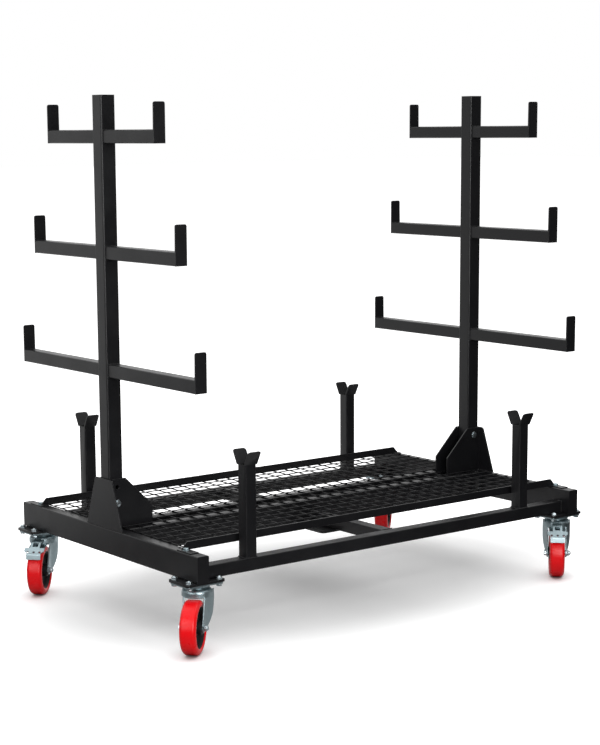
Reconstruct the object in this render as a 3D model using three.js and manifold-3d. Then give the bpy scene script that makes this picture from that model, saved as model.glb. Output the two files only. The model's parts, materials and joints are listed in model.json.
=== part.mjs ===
// Long material cart: a welded tube base with a wire mesh deck, a three-tier mast at each end,
// four V posts on the long rails and four swivel castors.
// Millimetres, +Z up, X along the cart with its left end at -X, front at -Y, floor at z = 0.
// The origin is the centre of the footprint with the castors as they are parked.

import * as THREE from "three";
import { mergeVertices } from "three/addons/utils/BufferGeometryUtils.js";
import Module from "manifold-3d";

const wasm = await Module();
wasm.setup();

// Overall sizes of the welded base
const baseLength = 1550;
const baseWidth = 1000;
const baseUnderside = 210;

// Clearances and overruns shared by every piece
const seatGap = 0.3;
const slideGap = 1;
const cutOverrun = 2;
const weldBite = 0.5;

// Facets round a quarter of a large tube's corner, a small one's and a plate's, and round a whole bolt
const tubeCornerFacets = 2;
const smallTubeFacets = 1;
const plateCornerFacets = 2;
const boltFacets = 8;
const nutSides = 6;
const halfTurn = 180;

// End beams and spines, rectangular tube on edge
const beamWidth = 40;
const beamHeight = 80;
const beamWall = 3;
const beamCorner = 4;
const drainRadius = 5;
const drainInset = 150;

// Long rails and crossmembers, square tube
const railSize = 40;
const railWall = 3;
const railCorner = 3.5;
const railSetback = 35;

// Centre spines and the plate that ties the middle together
const spineGap = 52;
const tieLength = 135;
const tieReach = 186;
const tieThickness = 8;
const tieCorner = 14;

// Castor pads under the corners, with the nuts and heads of their bolts
const padLength = 135;
const padWidth = 100;
const padThickness = 8;
const padOverhang = 31;
const padSetback = 8.35;
const padCorner = 8;
const boltSpacingX = 105;
const boltSpacingY = 76;
const nutRadius = 9.2;
const nutHeight = 8;
const headHeight = 6.4;

// Deck of welded wire mesh between two upright lips
const meshPitch = 50.8;
const wireSize = 4;
const wireStub = 3;
const notchLength = 163;
const notchHalf = 35;
const lipSpread = 810;
const lipThickness = 4;
const lipHeight = 24.5;
const lipTopInset = 30;
const lipEndInset = 7;
const tabLength = 69;
const tabWidth = 30;
const tabThickness = 3;
const tabOutset = 54;
const tabInset = 3;
const tabBoltOutset = 7;
const tabHeadRadius = 8;
const tabHeadHeight = 5;

// Masts, their sockets and through bolts
const mastSize = 50;
const mastWall = 3;
const mastCorner = 4.5;
const mastTop = 1595;
const mastInset = 6;
const mastCap = 3;
const socketPlate = 5;
const socketHeight = 153;
const socketTopHalf = 47;
const socketFootHalf = 100;
const socketCorner = 10;
const gussetPlate = 5;
const gussetReach = 158;
const gussetShoulder = 62;
const gussetToe = 57;
const gussetCorner = 7;
const upperHole = 127;
const lowerHole = 76;
const mastBoltRadius = 6;
const mastHeadRadius = 9.5;
const mastHeadHeight = 5;

// Arms: drop from the mast's top to each underside, and reach of each finger from the mast's centre
const armSize = 40;
const armWall = 2.5;
const armCorner = 3.5;
const lowArmDrop = 840;
const lowArmReach = 486;
const middleArmDrop = 485;
const middleArmReach = 397;
const topArmDrop = 142;
const topArmReach = 297;
const fingerHeight = 118;
const fingerThickness = 4;
const fingerCorner = 6;

// V posts on the long rails
const postSize = 40;
const postWall = 3;
const postCorner = 3.5;
const postHeight = 277;
const postSetback = 218;
const flarePlate = 5;
const flareWidth = 46;
const flareRise = 41;
const flareSpread = 21;
const flareCorner = 8;

// Castors
const wheelRadius = 80;
const wheelWidth = 50;
const wheelFacets = 24;
const treadShare = 0.74;
const sideDrop = 9;
const hubRadius = 61;
const hubRimWall = 6;
const hubRimInset = 3;
const hubWebHalf = 6;
const hubBossRadius = 17;
const hubFacets = 16;
const axleRadius = 6;
const axleNutRadius = 9;
const axleNutHeight = 6.7;
const trail = 53.5;
const castorPlateLength = 128;
const castorPlateWidth = 94;
const castorPlateThickness = 5;
const raceRadius = 37;
const raceHeight = 7.5;
const kingPinRadius = 8;
const kingPinHeight = 11;
const crownFacets = 12;
const crownRadius = 45;
const crownWall = 4;
const crownHeight = 23;
const crownRoof = 8;
const crownBevel = 6;
const lowerRaceRadius = 30;
const lowerRaceHeight = 3.2;
const forkPlate = 4;
const legLead = 20;
const legRear = 32.5;
const legStraight = 36;
const legFlare = 14;
const legFlareRun = 42.5;
const axleEyeRadius = 15;
const legCurveFacets = 4;

// Brakes on two of the castors: a lug on the crown, and a pressed pedal whose neck is hinged to it
const lugWidth = 12;
const hingeReach = 5;
const hingeRadius = 4.5;
const hingePinRadius = 2.5;
const hingeFacets = 8;
const hingeHeightOverTyre = 15.5;
const neckWidth = 31;
const neckReach = 32;
const windowWidth = 17.6;
const windowLength = 15;
const windowReach = 44;
const pedalWidth = 66;
const pedalThickness = 3;
const pedalCorner = 4;
const plateReach = 56;
const plateStraight = 11;
const pedalBendReach = 79;
const pedalBendDrop = 29.5;
const pedalTipReach = 82;
const pedalTipDrop = 48.5;
const pedalLipWidth = 47;
const pedalHoleRadius = 4;
const pedalHoleSpacing = 19.5;
const pedalHoleReach = 72.5;

// Castor corners: which way each axle points, in degrees from +X, and which have a brake
const castors = [
  { corner: "front_left", sideX: -1, sideY: -1, axleAngle: -48.2, braked: false },
  { corner: "rear_left", sideX: -1, sideY: 1, axleAngle: -44.7, braked: true },
  { corner: "front_right", sideX: 1, sideY: -1, axleAngle: -44.1, braked: true },
  { corner: "rear_right", sideX: 1, sideY: 1, axleAngle: -48, braked: false },
];

// Levels and places that follow from the sizes above
const deckLevel = baseUnderside + beamHeight;
const railTop = baseUnderside + railSize;
const beamInner = baseLength / 2 - beamWidth;
const railCentre = baseWidth / 2 - railSetback - railSize / 2;
const railInner = railCentre - railSize / 2;
const spineInner = spineGap / 2;
const spineOuter = spineInner + beamWidth;
const mastCentre = baseLength / 2 - mastInset - mastSize / 2;
const socketInner = baseLength / 2 - socketPlate;
const gussetOuter = mastSize / 2 + slideGap + gussetPlate;
const lipOuter = lipSpread / 2;
const lipInner = lipOuter - lipThickness;
const longWireCount = Math.floor(2 * lipInner / meshPitch);
const crossWireCount = Math.floor(2 * beamInner / meshPitch) + 2;
const armTiers = [
  { tier: "low", underside: mastTop - lowArmDrop, reach: lowArmReach },
  { tier: "middle", underside: mastTop - middleArmDrop, reach: middleArmReach },
  { tier: "top", underside: mastTop - topArmDrop, reach: topArmReach },
];
const padCentreX = baseLength / 2 + padOverhang - padLength / 2;
const padCentreY = baseWidth / 2 - padSetback - padWidth / 2;
const padUnderside = baseUnderside - padThickness;
const castorPlateUnderside = padUnderside - castorPlateThickness;
const raceUnderside = castorPlateUnderside - raceHeight;
const crownTop = raceUnderside - seatGap - lowerRaceHeight;
const crownBottom = crownTop - crownHeight;
const hubBossHalf = wheelWidth / 2 + crownWall - slideGap;
const legInner = hubBossHalf + seatGap;
const legOuter = legInner + forkPlate;
const rollingRadius = wheelRadius / Math.cos(Math.PI / wheelFacets);

// Finishes
const blackPowder = new THREE.MeshStandardMaterial({ color: 0x1d1d1f, roughness: 0.55, metalness: 0.1 });
const brightZinc = new THREE.MeshStandardMaterial({ color: 0xb4c0c6, roughness: 0.35, metalness: 0.9 });
const redTyre = new THREE.MeshStandardMaterial({ color: 0xd8101c, roughness: 0.45, metalness: 0 });
const blackPlastic = new THREE.MeshStandardMaterial({ color: 0x141416, roughness: 0.6, metalness: 0 });

const cart = new THREE.Group();

// Solids: a closed geometry becomes a body that can be joined and cut, and back again
function toSolid(geometry) {
  const bare = geometry.clone();
  bare.deleteAttribute("normal");
  bare.deleteAttribute("uv");
  const merged = mergeVertices(bare);
  const vertProperties = new Float32Array(merged.attributes.position.array);
  const triVerts = new Uint32Array(merged.index.array);
  return new wasm.Manifold(new wasm.Mesh({ numProp: 3, vertProperties, triVerts }));
}

function toGeometry(solid) {
  const mesh = solid.getMesh();
  const indexed = new THREE.BufferGeometry();
  indexed.setAttribute("position", new THREE.BufferAttribute(mesh.vertProperties, 3));
  indexed.setIndex(new THREE.BufferAttribute(mesh.triVerts, 1));
  const faceted = indexed.toNonIndexed();
  faceted.computeVertexNormals();
  return faceted;
}

function join(geometries) {
  return geometries.map(toSolid).reduce((whole, next) => whole.add(next));
}

function cut(solid, geometries) {
  return geometries.map(toSolid).reduce((whole, next) => whole.subtract(next), solid);
}

function addPiece(name, geometry, material, parent = cart) {
  const piece = new THREE.Mesh(geometry, material);
  piece.name = name;
  parent.add(piece);
  return piece;
}

// Outlines
function roundedOutline(width, height, radius, facets = tubeCornerFacets) {
  const x = width / 2 - radius;
  const y = height / 2 - radius;
  const outline = new THREE.Shape();
  const corners = [[x, y], [-x, y], [-x, -y], [x, -y]];
  corners.forEach(([cx, cy], turn) => {
    for (let step = 0; step <= facets; step += 1) {
      const angle = (turn + step / facets) * Math.PI / 2;
      const px = cx + radius * Math.cos(angle);
      const py = cy + radius * Math.sin(angle);
      if (turn === 0 && step === 0) outline.moveTo(px, py);
      else outline.lineTo(px, py);
    }
  });
  outline.closePath();
  return outline;
}

function plainOutline(points) {
  const outline = new THREE.Shape();
  points.forEach(([x, y], i) => (i ? outline.lineTo(x, y) : outline.moveTo(x, y)));
  outline.closePath();
  return outline;
}

// A polygon whose corners are rounded, each by its own radius, zero for a sharp one
function filletedOutline(points, radii, facets = plateCornerFacets) {
  const rounded = [];
  points.forEach(([x, y], i) => {
    const [px, py] = points[(i + points.length - 1) % points.length];
    const [nx, ny] = points[(i + 1) % points.length];
    const back = new THREE.Vector2(px - x, py - y);
    const ahead = new THREE.Vector2(nx - x, ny - y);
    const halfAngle = Math.acos(back.clone().normalize().dot(ahead.clone().normalize())) / 2;
    const wanted = radii[i] / Math.tan(halfAngle);
    const run = Math.min(wanted, back.length() / 2, ahead.length() / 2);
    if (run === 0) {
      rounded.push([x, y]);
      return;
    }
    const start = new THREE.Vector2(x, y).addScaledVector(back.normalize(), run);
    const end = new THREE.Vector2(x, y).addScaledVector(ahead.normalize(), run);
    const bend = new THREE.QuadraticBezierCurve(start, new THREE.Vector2(x, y), end);
    bend.getPoints(facets).forEach((point) => rounded.push([point.x, point.y]));
  });
  return plainOutline(rounded);
}

function circleOutline(radius, sides, x = 0, y = 0) {
  const points = [];
  for (let step = 0; step < sides; step += 1) {
    const angle = (step + 1 / 2) * 2 * Math.PI / sides;
    points.push([x + radius * Math.cos(angle), y + radius * Math.sin(angle)]);
  }
  return plainOutline(points);
}

// A hole's flats clear a round piece of the radius given
function holeOutline(radius, sides, x = 0, y = 0) {
  return circleOutline(radius / Math.cos(Math.PI / sides), sides, x, y);
}

// Extrusions. An outline's own x and y become Y and Z, X and Z, or X and Y.
const extrudeFrames = {
  x: new THREE.Matrix4().makeBasis(
    new THREE.Vector3(0, 1, 0), new THREE.Vector3(0, 0, 1), new THREE.Vector3(1, 0, 0)),
  y: new THREE.Matrix4().makeBasis(
    new THREE.Vector3(1, 0, 0), new THREE.Vector3(0, 0, 1), new THREE.Vector3(0, -1, 0)),
  z: new THREE.Matrix4(),
};

function extrude(outline, axis, from, to) {
  const depth = to - from;
  const geometry = new THREE.ExtrudeGeometry(outline, { depth, bevelEnabled: false });
  geometry.applyMatrix4(extrudeFrames[axis]);
  const shift = axis === "y" ? to : from;
  return geometry.translate(axis === "x" ? shift : 0, axis === "y" ? shift : 0, axis === "z" ? shift : 0);
}

function tubeAlong(axis, width, height, wall, corner, from, to, facets = tubeCornerFacets) {
  const section = roundedOutline(width, height, corner, facets);
  section.holes.push(plainOutline([
    [width / 2 - wall, height / 2 - wall],
    [width / 2 - wall, wall - height / 2],
    [wall - width / 2, wall - height / 2],
    [wall - width / 2, height / 2 - wall],
  ]));
  return extrude(section, axis, from, to);
}

function block(x0, x1, y0, y1, z0, z1) {
  const outline = plainOutline([[x0, y0], [x1, y0], [x1, y1], [x0, y1]]);
  return extrude(outline, "z", z0, z1);
}

function upright(radius, sides, x, y, z0, z1) {
  return extrude(circleOutline(radius, sides, x, y), "z", z0, z1);
}

function revolve(profile, segments) {
  const points = profile.map(([r, h]) => new THREE.Vector2(r, h));
  const geometry = new THREE.LatheGeometry(points, segments);
  return geometry.rotateX(Math.PI / 2);
}

// End beams: closed at both ends, with a drain hole under each end
function makeEndBeam(name, side) {
  const half = baseWidth / 2;
  const outer = extrude(roundedOutline(beamWidth, beamHeight, beamCorner), "y", -half, half);
  const bore = extrude(
    plainOutline([
      [beamWall - beamWidth / 2, beamWall - beamHeight / 2],
      [beamWidth / 2 - beamWall, beamWall - beamHeight / 2],
      [beamWidth / 2 - beamWall, beamHeight / 2 - beamWall],
      [beamWall - beamWidth / 2, beamHeight / 2 - beamWall],
    ]), "y", beamWall - half, half - beamWall);
  const drains = [-1, 1].map((end) => upright(
    drainRadius, boltFacets, 0, end * (half - drainInset),
    -beamHeight / 2 - cutOverrun, -beamHeight / 2 + beamWall + cutOverrun));
  const beam = addPiece(name, toGeometry(cut(toSolid(outer), [bore, ...drains])), blackPowder);
  beam.position.set(side * (beamInner + beamWidth / 2), 0, baseUnderside + beamHeight / 2);
}

function makeBase() {
  makeEndBeam("left_end_beam", -1);
  makeEndBeam("right_end_beam", 1);
  const rail = tubeAlong("x", railSize, railSize, railWall, railCorner, -beamInner, beamInner);
  const spine = tubeAlong("x", beamWidth, beamHeight, beamWall, beamCorner, -beamInner, beamInner);
  [["front", -1], ["rear", 1]].forEach(([name, side]) => {
    addPiece(`${name}_long_rail`, rail, blackPowder)
      .position.set(0, side * railCentre, baseUnderside + railSize / 2);
    addPiece(`${name}_spine`, spine, blackPowder)
      .position.set(0, side * (spineInner + beamWidth / 2), deckLevel - beamHeight / 2);
    const from = Math.min(side * spineOuter, side * railInner);
    const to = Math.max(side * spineOuter, side * railInner);
    const member = tubeAlong("y", railSize, railSize, railWall, railCorner, from, to);
    addPiece(`${name}_crossmember`, member, blackPowder)
      .position.set(0, 0, baseUnderside + railSize / 2);
  });
  const tie = roundedOutline(tieLength, 2 * tieReach, tieCorner, plateCornerFacets);
  addPiece("centre_tie_plate", extrude(tie, "z", baseUnderside - tieThickness, baseUnderside), blackPowder);
}

// The four bolt places of a castor pad, from the pad's centre
function padBoltPlaces() {
  return [-1, 1].flatMap((sx) => [-1, 1].map((sy) => [sx * boltSpacingX / 2, sy * boltSpacingY / 2]));
}

// A castor pad carries the four nuts that clamp its castor
function makeCastorPad(corner, sideX, sideY) {
  const outline = roundedOutline(padLength, padWidth, padCorner, smallTubeFacets);
  const plate = extrude(outline, "z", 0, padThickness);
  const nutTop = padThickness + nutHeight;
  const nuts = padBoltPlaces().map(([x, y]) => upright(
    nutRadius, nutSides, x, y, padThickness - weldBite, nutTop));
  const pad = addPiece(`${corner}_castor_pad`, toGeometry(join([plate, ...nuts])), blackPowder);
  pad.position.set(sideX * padCentreX, sideY * padCentreY, padUnderside);
}

// Welded mesh: cross wires lie on the spines and beams, long wires are welded on top of them
function makeDeckMesh() {
  const wires = [];
  const lowTop = deckLevel + wireSize;
  const crossEnd = (crossWireCount - 1) * meshPitch / 2;
  const notchStart = socketInner - notchLength;
  const longEnd = crossEnd + wireSize / 2 + wireStub;
  const addCross = (x, y0, y1) => wires.push(
    block(x - wireSize / 2, x + wireSize / 2, y0, y1, deckLevel, lowTop));
  for (let i = 0; i < crossWireCount; i += 1) {
    const x = i * meshPitch - crossEnd;
    if (Math.abs(x) > notchStart) {
      addCross(x, -lipInner, -notchHalf);
      addCross(x, notchHalf, lipInner);
    } else {
      addCross(x, -lipInner, lipInner);
    }
  }
  for (let i = 0; i < longWireCount; i += 1) {
    const y = (i - (longWireCount - 1) / 2) * meshPitch;
    const reach = Math.abs(y) < notchHalf ? notchStart : longEnd;
    wires.push(block(-reach, reach, y - wireSize / 2, y + wireSize / 2, lowTop, lowTop + wireSize));
  }
  addPiece("deck_mesh", toGeometry(join(wires)), blackPowder);
}

// Deck lip: an upright flat with raked ends, a tab and a bolt on each end beam
function makeDeckLip(name, side) {
  const half = baseLength / 2;
  const flat = extrude(plainOutline([
    [lipEndInset - half, deckLevel],
    [half - lipEndInset, deckLevel],
    [half - lipTopInset, deckLevel + lipHeight],
    [lipTopInset - half, deckLevel + lipHeight],
  ]), "y", lipInner, lipOuter);
  const parts = [flat];
  [-1, 1].forEach((end) => {
    const tabOuter = half - tabInset;
    const tabX = [end * (tabOuter - tabWidth), end * tabOuter].sort((a, b) => a - b);
    const tabY0 = lipOuter + tabOutset - tabLength;
    const tabTop = deckLevel + tabThickness;
    parts.push(block(tabX[0], tabX[1], tabY0, tabY0 + tabLength, deckLevel, tabTop));
    parts.push(upright(
      tabHeadRadius, nutSides, end * (tabOuter - tabWidth / 2), lipOuter + tabBoltOutset + tabHeadRadius / 2,
      tabTop - weldBite, tabTop + tabHeadHeight));
  });
  const geometry = toGeometry(join(parts));
  const lip = addPiece(name, geometry, blackPowder);
  if (side < 0) lip.rotation.z = Math.PI;
}

// Masts and sockets are drawn for the right end and turned half round for the left
function endGroup(side) {
  const group = new THREE.Group();
  if (side < 0) group.rotation.z = Math.PI;
  cart.add(group);
  return group;
}

function mastHoles(heights, radius, reach) {
  return heights.map((height) => extrude(
    holeOutline(radius, boltFacets, mastCentre, deckLevel + height), "y", -reach, reach));
}

function makeMast(name, parent, holeHeights) {
  const outer = extrude(roundedOutline(mastSize, mastSize, mastCorner), "z", deckLevel, mastTop);
  const half = mastSize / 2 - mastWall;
  const bore = block(-half, half, -half, half, deckLevel - cutOverrun, mastTop - mastCap);
  const tube = cut(toSolid(outer), [bore]).translate([mastCentre, 0, 0]);
  const holes = mastHoles(holeHeights, mastBoltRadius + seatGap, mastSize / 2 + cutOverrun);
  addPiece(name, toGeometry(cut(tube, holes)), blackPowder, parent);
}

function makeSocket(name, parent, holeHeights) {
  const top = deckLevel + socketHeight;
  const plate = extrude(filletedOutline([
    [-socketFootHalf, deckLevel],
    [socketFootHalf, deckLevel],
    [socketTopHalf, top],
    [-socketTopHalf, top],
  ], [0, 0, socketCorner, socketCorner]), "x", socketInner, socketInner + socketPlate);
  const gusset = filletedOutline([
    [socketInner + weldBite, deckLevel],
    [socketInner + weldBite, top],
    [baseLength / 2 - gussetShoulder, top],
    [baseLength / 2 - gussetReach, deckLevel + gussetToe],
    [baseLength / 2 - gussetReach, deckLevel],
  ], [0, 0, gussetCorner, gussetCorner, 0]);
  const front = extrude(gusset, "y", -gussetOuter, gussetPlate - gussetOuter);
  const rear = extrude(gusset, "y", gussetOuter - gussetPlate, gussetOuter);
  const holes = mastHoles(holeHeights, mastBoltRadius + seatGap, gussetOuter + cutOverrun);
  addPiece(name, toGeometry(cut(join([plate, front, rear]), holes)), blackPowder, parent);
}

function makeMastBolt(name, parent, height) {
  const level = deckLevel + height;
  const headEnd = gussetOuter + mastHeadHeight;
  const shank = extrude(
    circleOutline(mastBoltRadius, boltFacets, mastCentre, level), "y", -gussetOuter, gussetOuter);
  const ends = [-1, 1].map((end) => {
    const from = end < 0 ? -headEnd : gussetOuter;
    const hexagon = circleOutline(mastHeadRadius, nutSides, mastCentre, level);
    return extrude(hexagon, "y", from, from + mastHeadHeight);
  });
  addPiece(name, toGeometry(join([shank, ...ends])), brightZinc, parent);
}

// An arm: square tube welded to the mast, closed by a finger plate that stands above it
function makeArm(name, parent, sideY, underside, reach) {
  const tubeEnd = reach - fingerThickness;
  const tube = tubeAlong(
    "y", armSize, armSize, armWall, armCorner, mastSize / 2, tubeEnd + weldBite, smallTubeFacets);
  tube.translate(0, 0, armSize / 2);
  const finger = extrude(filletedOutline([
    [-armSize / 2, 0],
    [armSize / 2, 0],
    [armSize / 2, fingerHeight],
    [-armSize / 2, fingerHeight],
  ], [0, 0, fingerCorner, fingerCorner]), "y", tubeEnd, reach);
  const geometry = toGeometry(join([tube, finger]));
  if (sideY < 0) geometry.rotateZ(Math.PI);
  addPiece(name, geometry, blackPowder, parent).position.set(mastCentre, 0, underside);
}

function makeEnd(side) {
  const end = side < 0 ? "left" : "right";
  const group = endGroup(side);
  const boltHeight = side < 0 ? lowerHole : upperHole;
  const holeHeights = side < 0 ? [lowerHole, upperHole] : [upperHole];
  makeMast(`${end}_mast`, group, holeHeights);
  makeSocket(`${end}_mast_socket`, group, holeHeights);
  makeMastBolt(`${end}_mast_bolt`, group, boltHeight);
  armTiers.forEach(({ tier, underside, reach }) => {
    makeArm(`${end}_front_${tier}_arm`, group, -side, underside, reach);
    makeArm(`${end}_rear_${tier}_arm`, group, side, underside, reach);
  });
}

// V post: a square tube with two plates flared off its top
function makeVPost(name, sideX, sideY) {
  const tube = tubeAlong("z", postSize, postSize, postWall, postCorner, 0, postHeight, smallTubeFacets);
  const half = postSize / 2;
  const blank = extrude(plainOutline([
    [half - flarePlate, postHeight - weldBite],
    [half, postHeight - weldBite],
    [half + flareSpread, postHeight + flareRise],
    [half + flareSpread - flarePlate, postHeight + flareRise],
  ]), "x", -flareWidth / 2, flareWidth / 2);
  const face = extrude(filletedOutline([
    [-flareWidth / 2, 0],
    [flareWidth / 2, 0],
    [flareWidth / 2, postHeight + flareRise],
    [-flareWidth / 2, postHeight + flareRise],
  ], [0, 0, flareCorner, flareCorner]), "y", 0, half + flareSpread + cutOverrun);
  const flare = toSolid(blank).intersect(toSolid(face));
  const otherFlare = flare.rotate([0, 0, halfTurn]);
  const post = toSolid(tube).add(flare).add(otherFlare);
  addPiece(name, toGeometry(post), blackPowder)
    .position.set(sideX * (baseLength / 2 - postSetback), sideY * railCentre, railTop);
}

// Castor plate: bolted under the pad, with the upper race and the four bolt heads
function makeCastorPlate(corner, parent) {
  const outline = roundedOutline(castorPlateLength, castorPlateWidth, padCorner, smallTubeFacets);
  const plate = extrude(outline, "z", castorPlateUnderside, padUnderside);
  const race = upright(raceRadius, crownFacets, 0, 0, raceUnderside, castorPlateUnderside + weldBite);
  const heads = padBoltPlaces().map(([x, y]) => upright(
    nutRadius, nutSides, x, y, castorPlateUnderside - headHeight, castorPlateUnderside + weldBite));
  const boreOutline = holeOutline(kingPinRadius + seatGap, boltFacets);
  const bore = extrude(boreOutline, "z", raceUnderside - cutOverrun, padUnderside + cutOverrun);
  const pressed = cut(join([plate, race, ...heads]), [bore]);
  addPiece(`${corner}_castor_plate`, toGeometry(pressed), brightZinc, parent);
}

// Outline of a fork leg, drawn in Y and Z, from the crown down round the axle's eye
function legOutline() {
  const axleY = -trail;
  const eyeStart = -Math.PI / 3;
  const eyeEnd = -Math.PI;
  const points = [[legLead, crownTop - crownBevel]];
  const start = new THREE.Vector2(legLead, crownTop - legStraight);
  const eyeEdge = new THREE.Vector2(
    axleY + axleEyeRadius * Math.cos(eyeStart), wheelRadius + axleEyeRadius * Math.sin(eyeStart));
  const pull = new THREE.Vector2(legLead - axleEyeRadius, wheelRadius);
  new THREE.QuadraticBezierCurve(start, pull, eyeEdge)
    .getPoints(legCurveFacets)
    .forEach((point) => points.push([point.x, point.y]));
  for (let step = 1; step <= legCurveFacets; step += 1) {
    const angle = eyeStart + (eyeEnd - eyeStart) * step / legCurveFacets;
    points.push([axleY + axleEyeRadius * Math.cos(angle), wheelRadius + axleEyeRadius * Math.sin(angle)]);
  }
  points.push([-legRear, crownBottom]);
  points.push([-legRear, crownTop - crownBevel]);
  return points;
}

// A leg's plan, drawn in X and Y: flat beside the wheel, then flared outwards towards the leading edge
function legPlan(side) {
  const flareEnd = legFlareRun - legRear;
  return plainOutline([
    [legInner, -trail - axleEyeRadius - cutOverrun],
    [legOuter, -trail - axleEyeRadius - cutOverrun],
    [legOuter, -legRear],
    [legOuter + legFlare, flareEnd],
    [legOuter + legFlare, legLead + cutOverrun],
    [legInner + legFlare, legLead + cutOverrun],
    [legInner + legFlare, flareEnd],
    [legInner, -legRear],
  ].map(([x, y]) => [side * x, y]));
}

// Fork: crown with the lower race and king pin, and two legs bored for the axle
function makeFork(corner, parent, braked) {
  const roofUnder = crownTop - crownRoof;
  const raceTop = crownTop + lowerRaceHeight;
  const crown = revolve([
    [0, roofUnder],
    [crownRadius - crownWall, roofUnder],
    [crownRadius - crownWall, crownBottom],
    [crownRadius, crownBottom],
    [crownRadius, crownTop - crownBevel],
    [crownRadius - crownBevel, crownTop],
    [lowerRaceRadius, crownTop],
    [lowerRaceRadius, raceTop],
    [kingPinRadius, raceTop],
    [kingPinRadius, raceTop + kingPinHeight],
    [0, raceTop + kingPinHeight],
  ], crownFacets);
  let fork = toSolid(crown);
  const leg = plainOutline(legOutline());
  [-1, 1].forEach((side) => {
    const far = side * (legOuter + legFlare + cutOverrun);
    const blank = toSolid(extrude(leg, "x", Math.min(0, far), Math.max(0, far)));
    fork = fork.add(blank.intersect(toSolid(extrude(legPlan(side), "z", 0, crownTop))));
  });
  const eyes = extrude(
    holeOutline(axleRadius + seatGap, boltFacets, -trail, wheelRadius), "x",
    -legOuter - cutOverrun, legOuter + cutOverrun);
  fork = cut(fork, [eyes]);
  if (braked) fork = addHingeLug(fork);
  addPiece(`${corner}_fork`, toGeometry(fork), brightZinc, parent);
}

// Axle: a bolt through both legs and the hub, with its head and its nut just off the legs
function makeAxle(corner, parent) {
  const nutStart = legOuter + seatGap;
  const nutEnd = legOuter + axleNutHeight;
  const shank = extrude(circleOutline(axleRadius, boltFacets, -trail, wheelRadius), "x", -nutEnd, nutEnd);
  const hexagon = circleOutline(axleNutRadius, nutSides, -trail, wheelRadius);
  const ends = [extrude(hexagon, "x", -nutEnd, -nutStart), extrude(hexagon, "x", nutStart, nutEnd)];
  addPiece(`${corner}_axle`, toGeometry(join([shank, ...ends])), brightZinc, parent);
}

// Where the brake pedal hinges, in the castor's own Y and Z, and the level of its neck
const hingeY = -(crownRadius + hingeReach);
const hingeZ = 2 * wheelRadius + hingeHeightOverTyre;
const neckTop = hingeZ + hingeRadius;

// A lug on the crown's skirt holds the pedal's pin
function addHingeLug(fork) {
  const half = lugWidth / 2;
  const web = toSolid(block(
    -half, half, hingeY, crownWall / 2 - crownRadius, hingeZ - hingeRadius, hingeZ + hingeRadius));
  const barrel = toSolid(extrude(
    circleOutline(hingeRadius, hingeFacets, hingeY, hingeZ), "x", -half, half));
  const bore = extrude(
    holeOutline(hingePinRadius + seatGap, hingeFacets, hingeY, hingeZ),
    "x", -half - cutOverrun, half + cutOverrun);
  return cut(fork.add(web).add(barrel), [bore]);
}

// Pedal in plan, drawn in X and Y: the neck, the wide plate with round corners, and the lip
function pedalPlan() {
  const plateY = hingeY - plateReach;
  const half = pedalWidth / 2;
  const side = [
    [neckWidth / 2, hingeY + hingeRadius],
    [neckWidth / 2, plateY],
    [half - pedalCorner, plateY],
    [half, plateY - pedalCorner],
    [half, plateY - plateStraight],
    [pedalLipWidth / 2, hingeY - pedalBendReach],
    [pedalLipWidth / 2, hingeY - pedalTipReach - cutOverrun],
  ];
  return plainOutline([...side, ...side.map(([x, y]) => [-x, y]).reverse()]);
}

// Pedal: knuckles and pin, a neck with a window, a sloping plate with three holes, and a lip
function makeBrakePedal(corner, parent) {
  const line = [
    [hingeY, neckTop],
    [hingeY - neckReach, neckTop],
    [hingeY - pedalBendReach, neckTop - pedalBendDrop],
    [hingeY - pedalTipReach, neckTop - pedalTipDrop],
  ];
  const under = line.map(([y, z], i) => {
    const [py, pz] = line[Math.max(0, i - 1)];
    const [ny, nz] = line[Math.min(line.length - 1, i + 1)];
    const along = new THREE.Vector2(ny - py, nz - pz).normalize();
    return [y - along.y * pedalThickness, z + along.x * pedalThickness];
  });
  const half = pedalWidth / 2;
  const lowest = neckTop - pedalTipDrop - cutOverrun;
  const sheet = toSolid(extrude(plainOutline([...line, ...under.reverse()]), "x", -half, half));
  const blank = sheet.intersect(toSolid(extrude(pedalPlan(), "z", lowest, neckTop + cutOverrun)));
  const knuckleStart = lugWidth / 2 + seatGap;
  const knuckleEnd = neckWidth / 2;
  const barrel = circleOutline(hingeRadius, hingeFacets, hingeY, hingeZ);
  const knuckles = [
    extrude(barrel, "x", -knuckleEnd, -knuckleStart),
    extrude(barrel, "x", knuckleStart, knuckleEnd),
  ];
  const pin = extrude(
    circleOutline(hingePinRadius, hingeFacets, hingeY, hingeZ), "x", -knuckleEnd, knuckleEnd);
  const room = hingeRadius + slideGap;
  const lugRoom = block(
    -knuckleStart, knuckleStart, hingeY - room, hingeY + room, hingeZ - room, hingeZ + room);
  const windowY = hingeY - windowReach;
  const windowCut = block(
    -windowWidth / 2, windowWidth / 2, windowY - windowLength / 2, windowY + windowLength / 2,
    lowest, neckTop + cutOverrun);
  const holes = [-1, 0, 1].map((place) => upright(
    pedalHoleRadius, boltFacets, place * pedalHoleSpacing, hingeY - pedalHoleReach,
    neckTop - pedalTipDrop, neckTop));
  const pressed = cut(blank, [lugRoom, windowCut, ...holes]);
  const pedal = [...knuckles, pin].reduce((whole, next) => whole.add(toSolid(next)), pressed);
  addPiece(`${corner}_brake_pedal`, toGeometry(pedal), brightZinc, parent);
}

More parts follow.
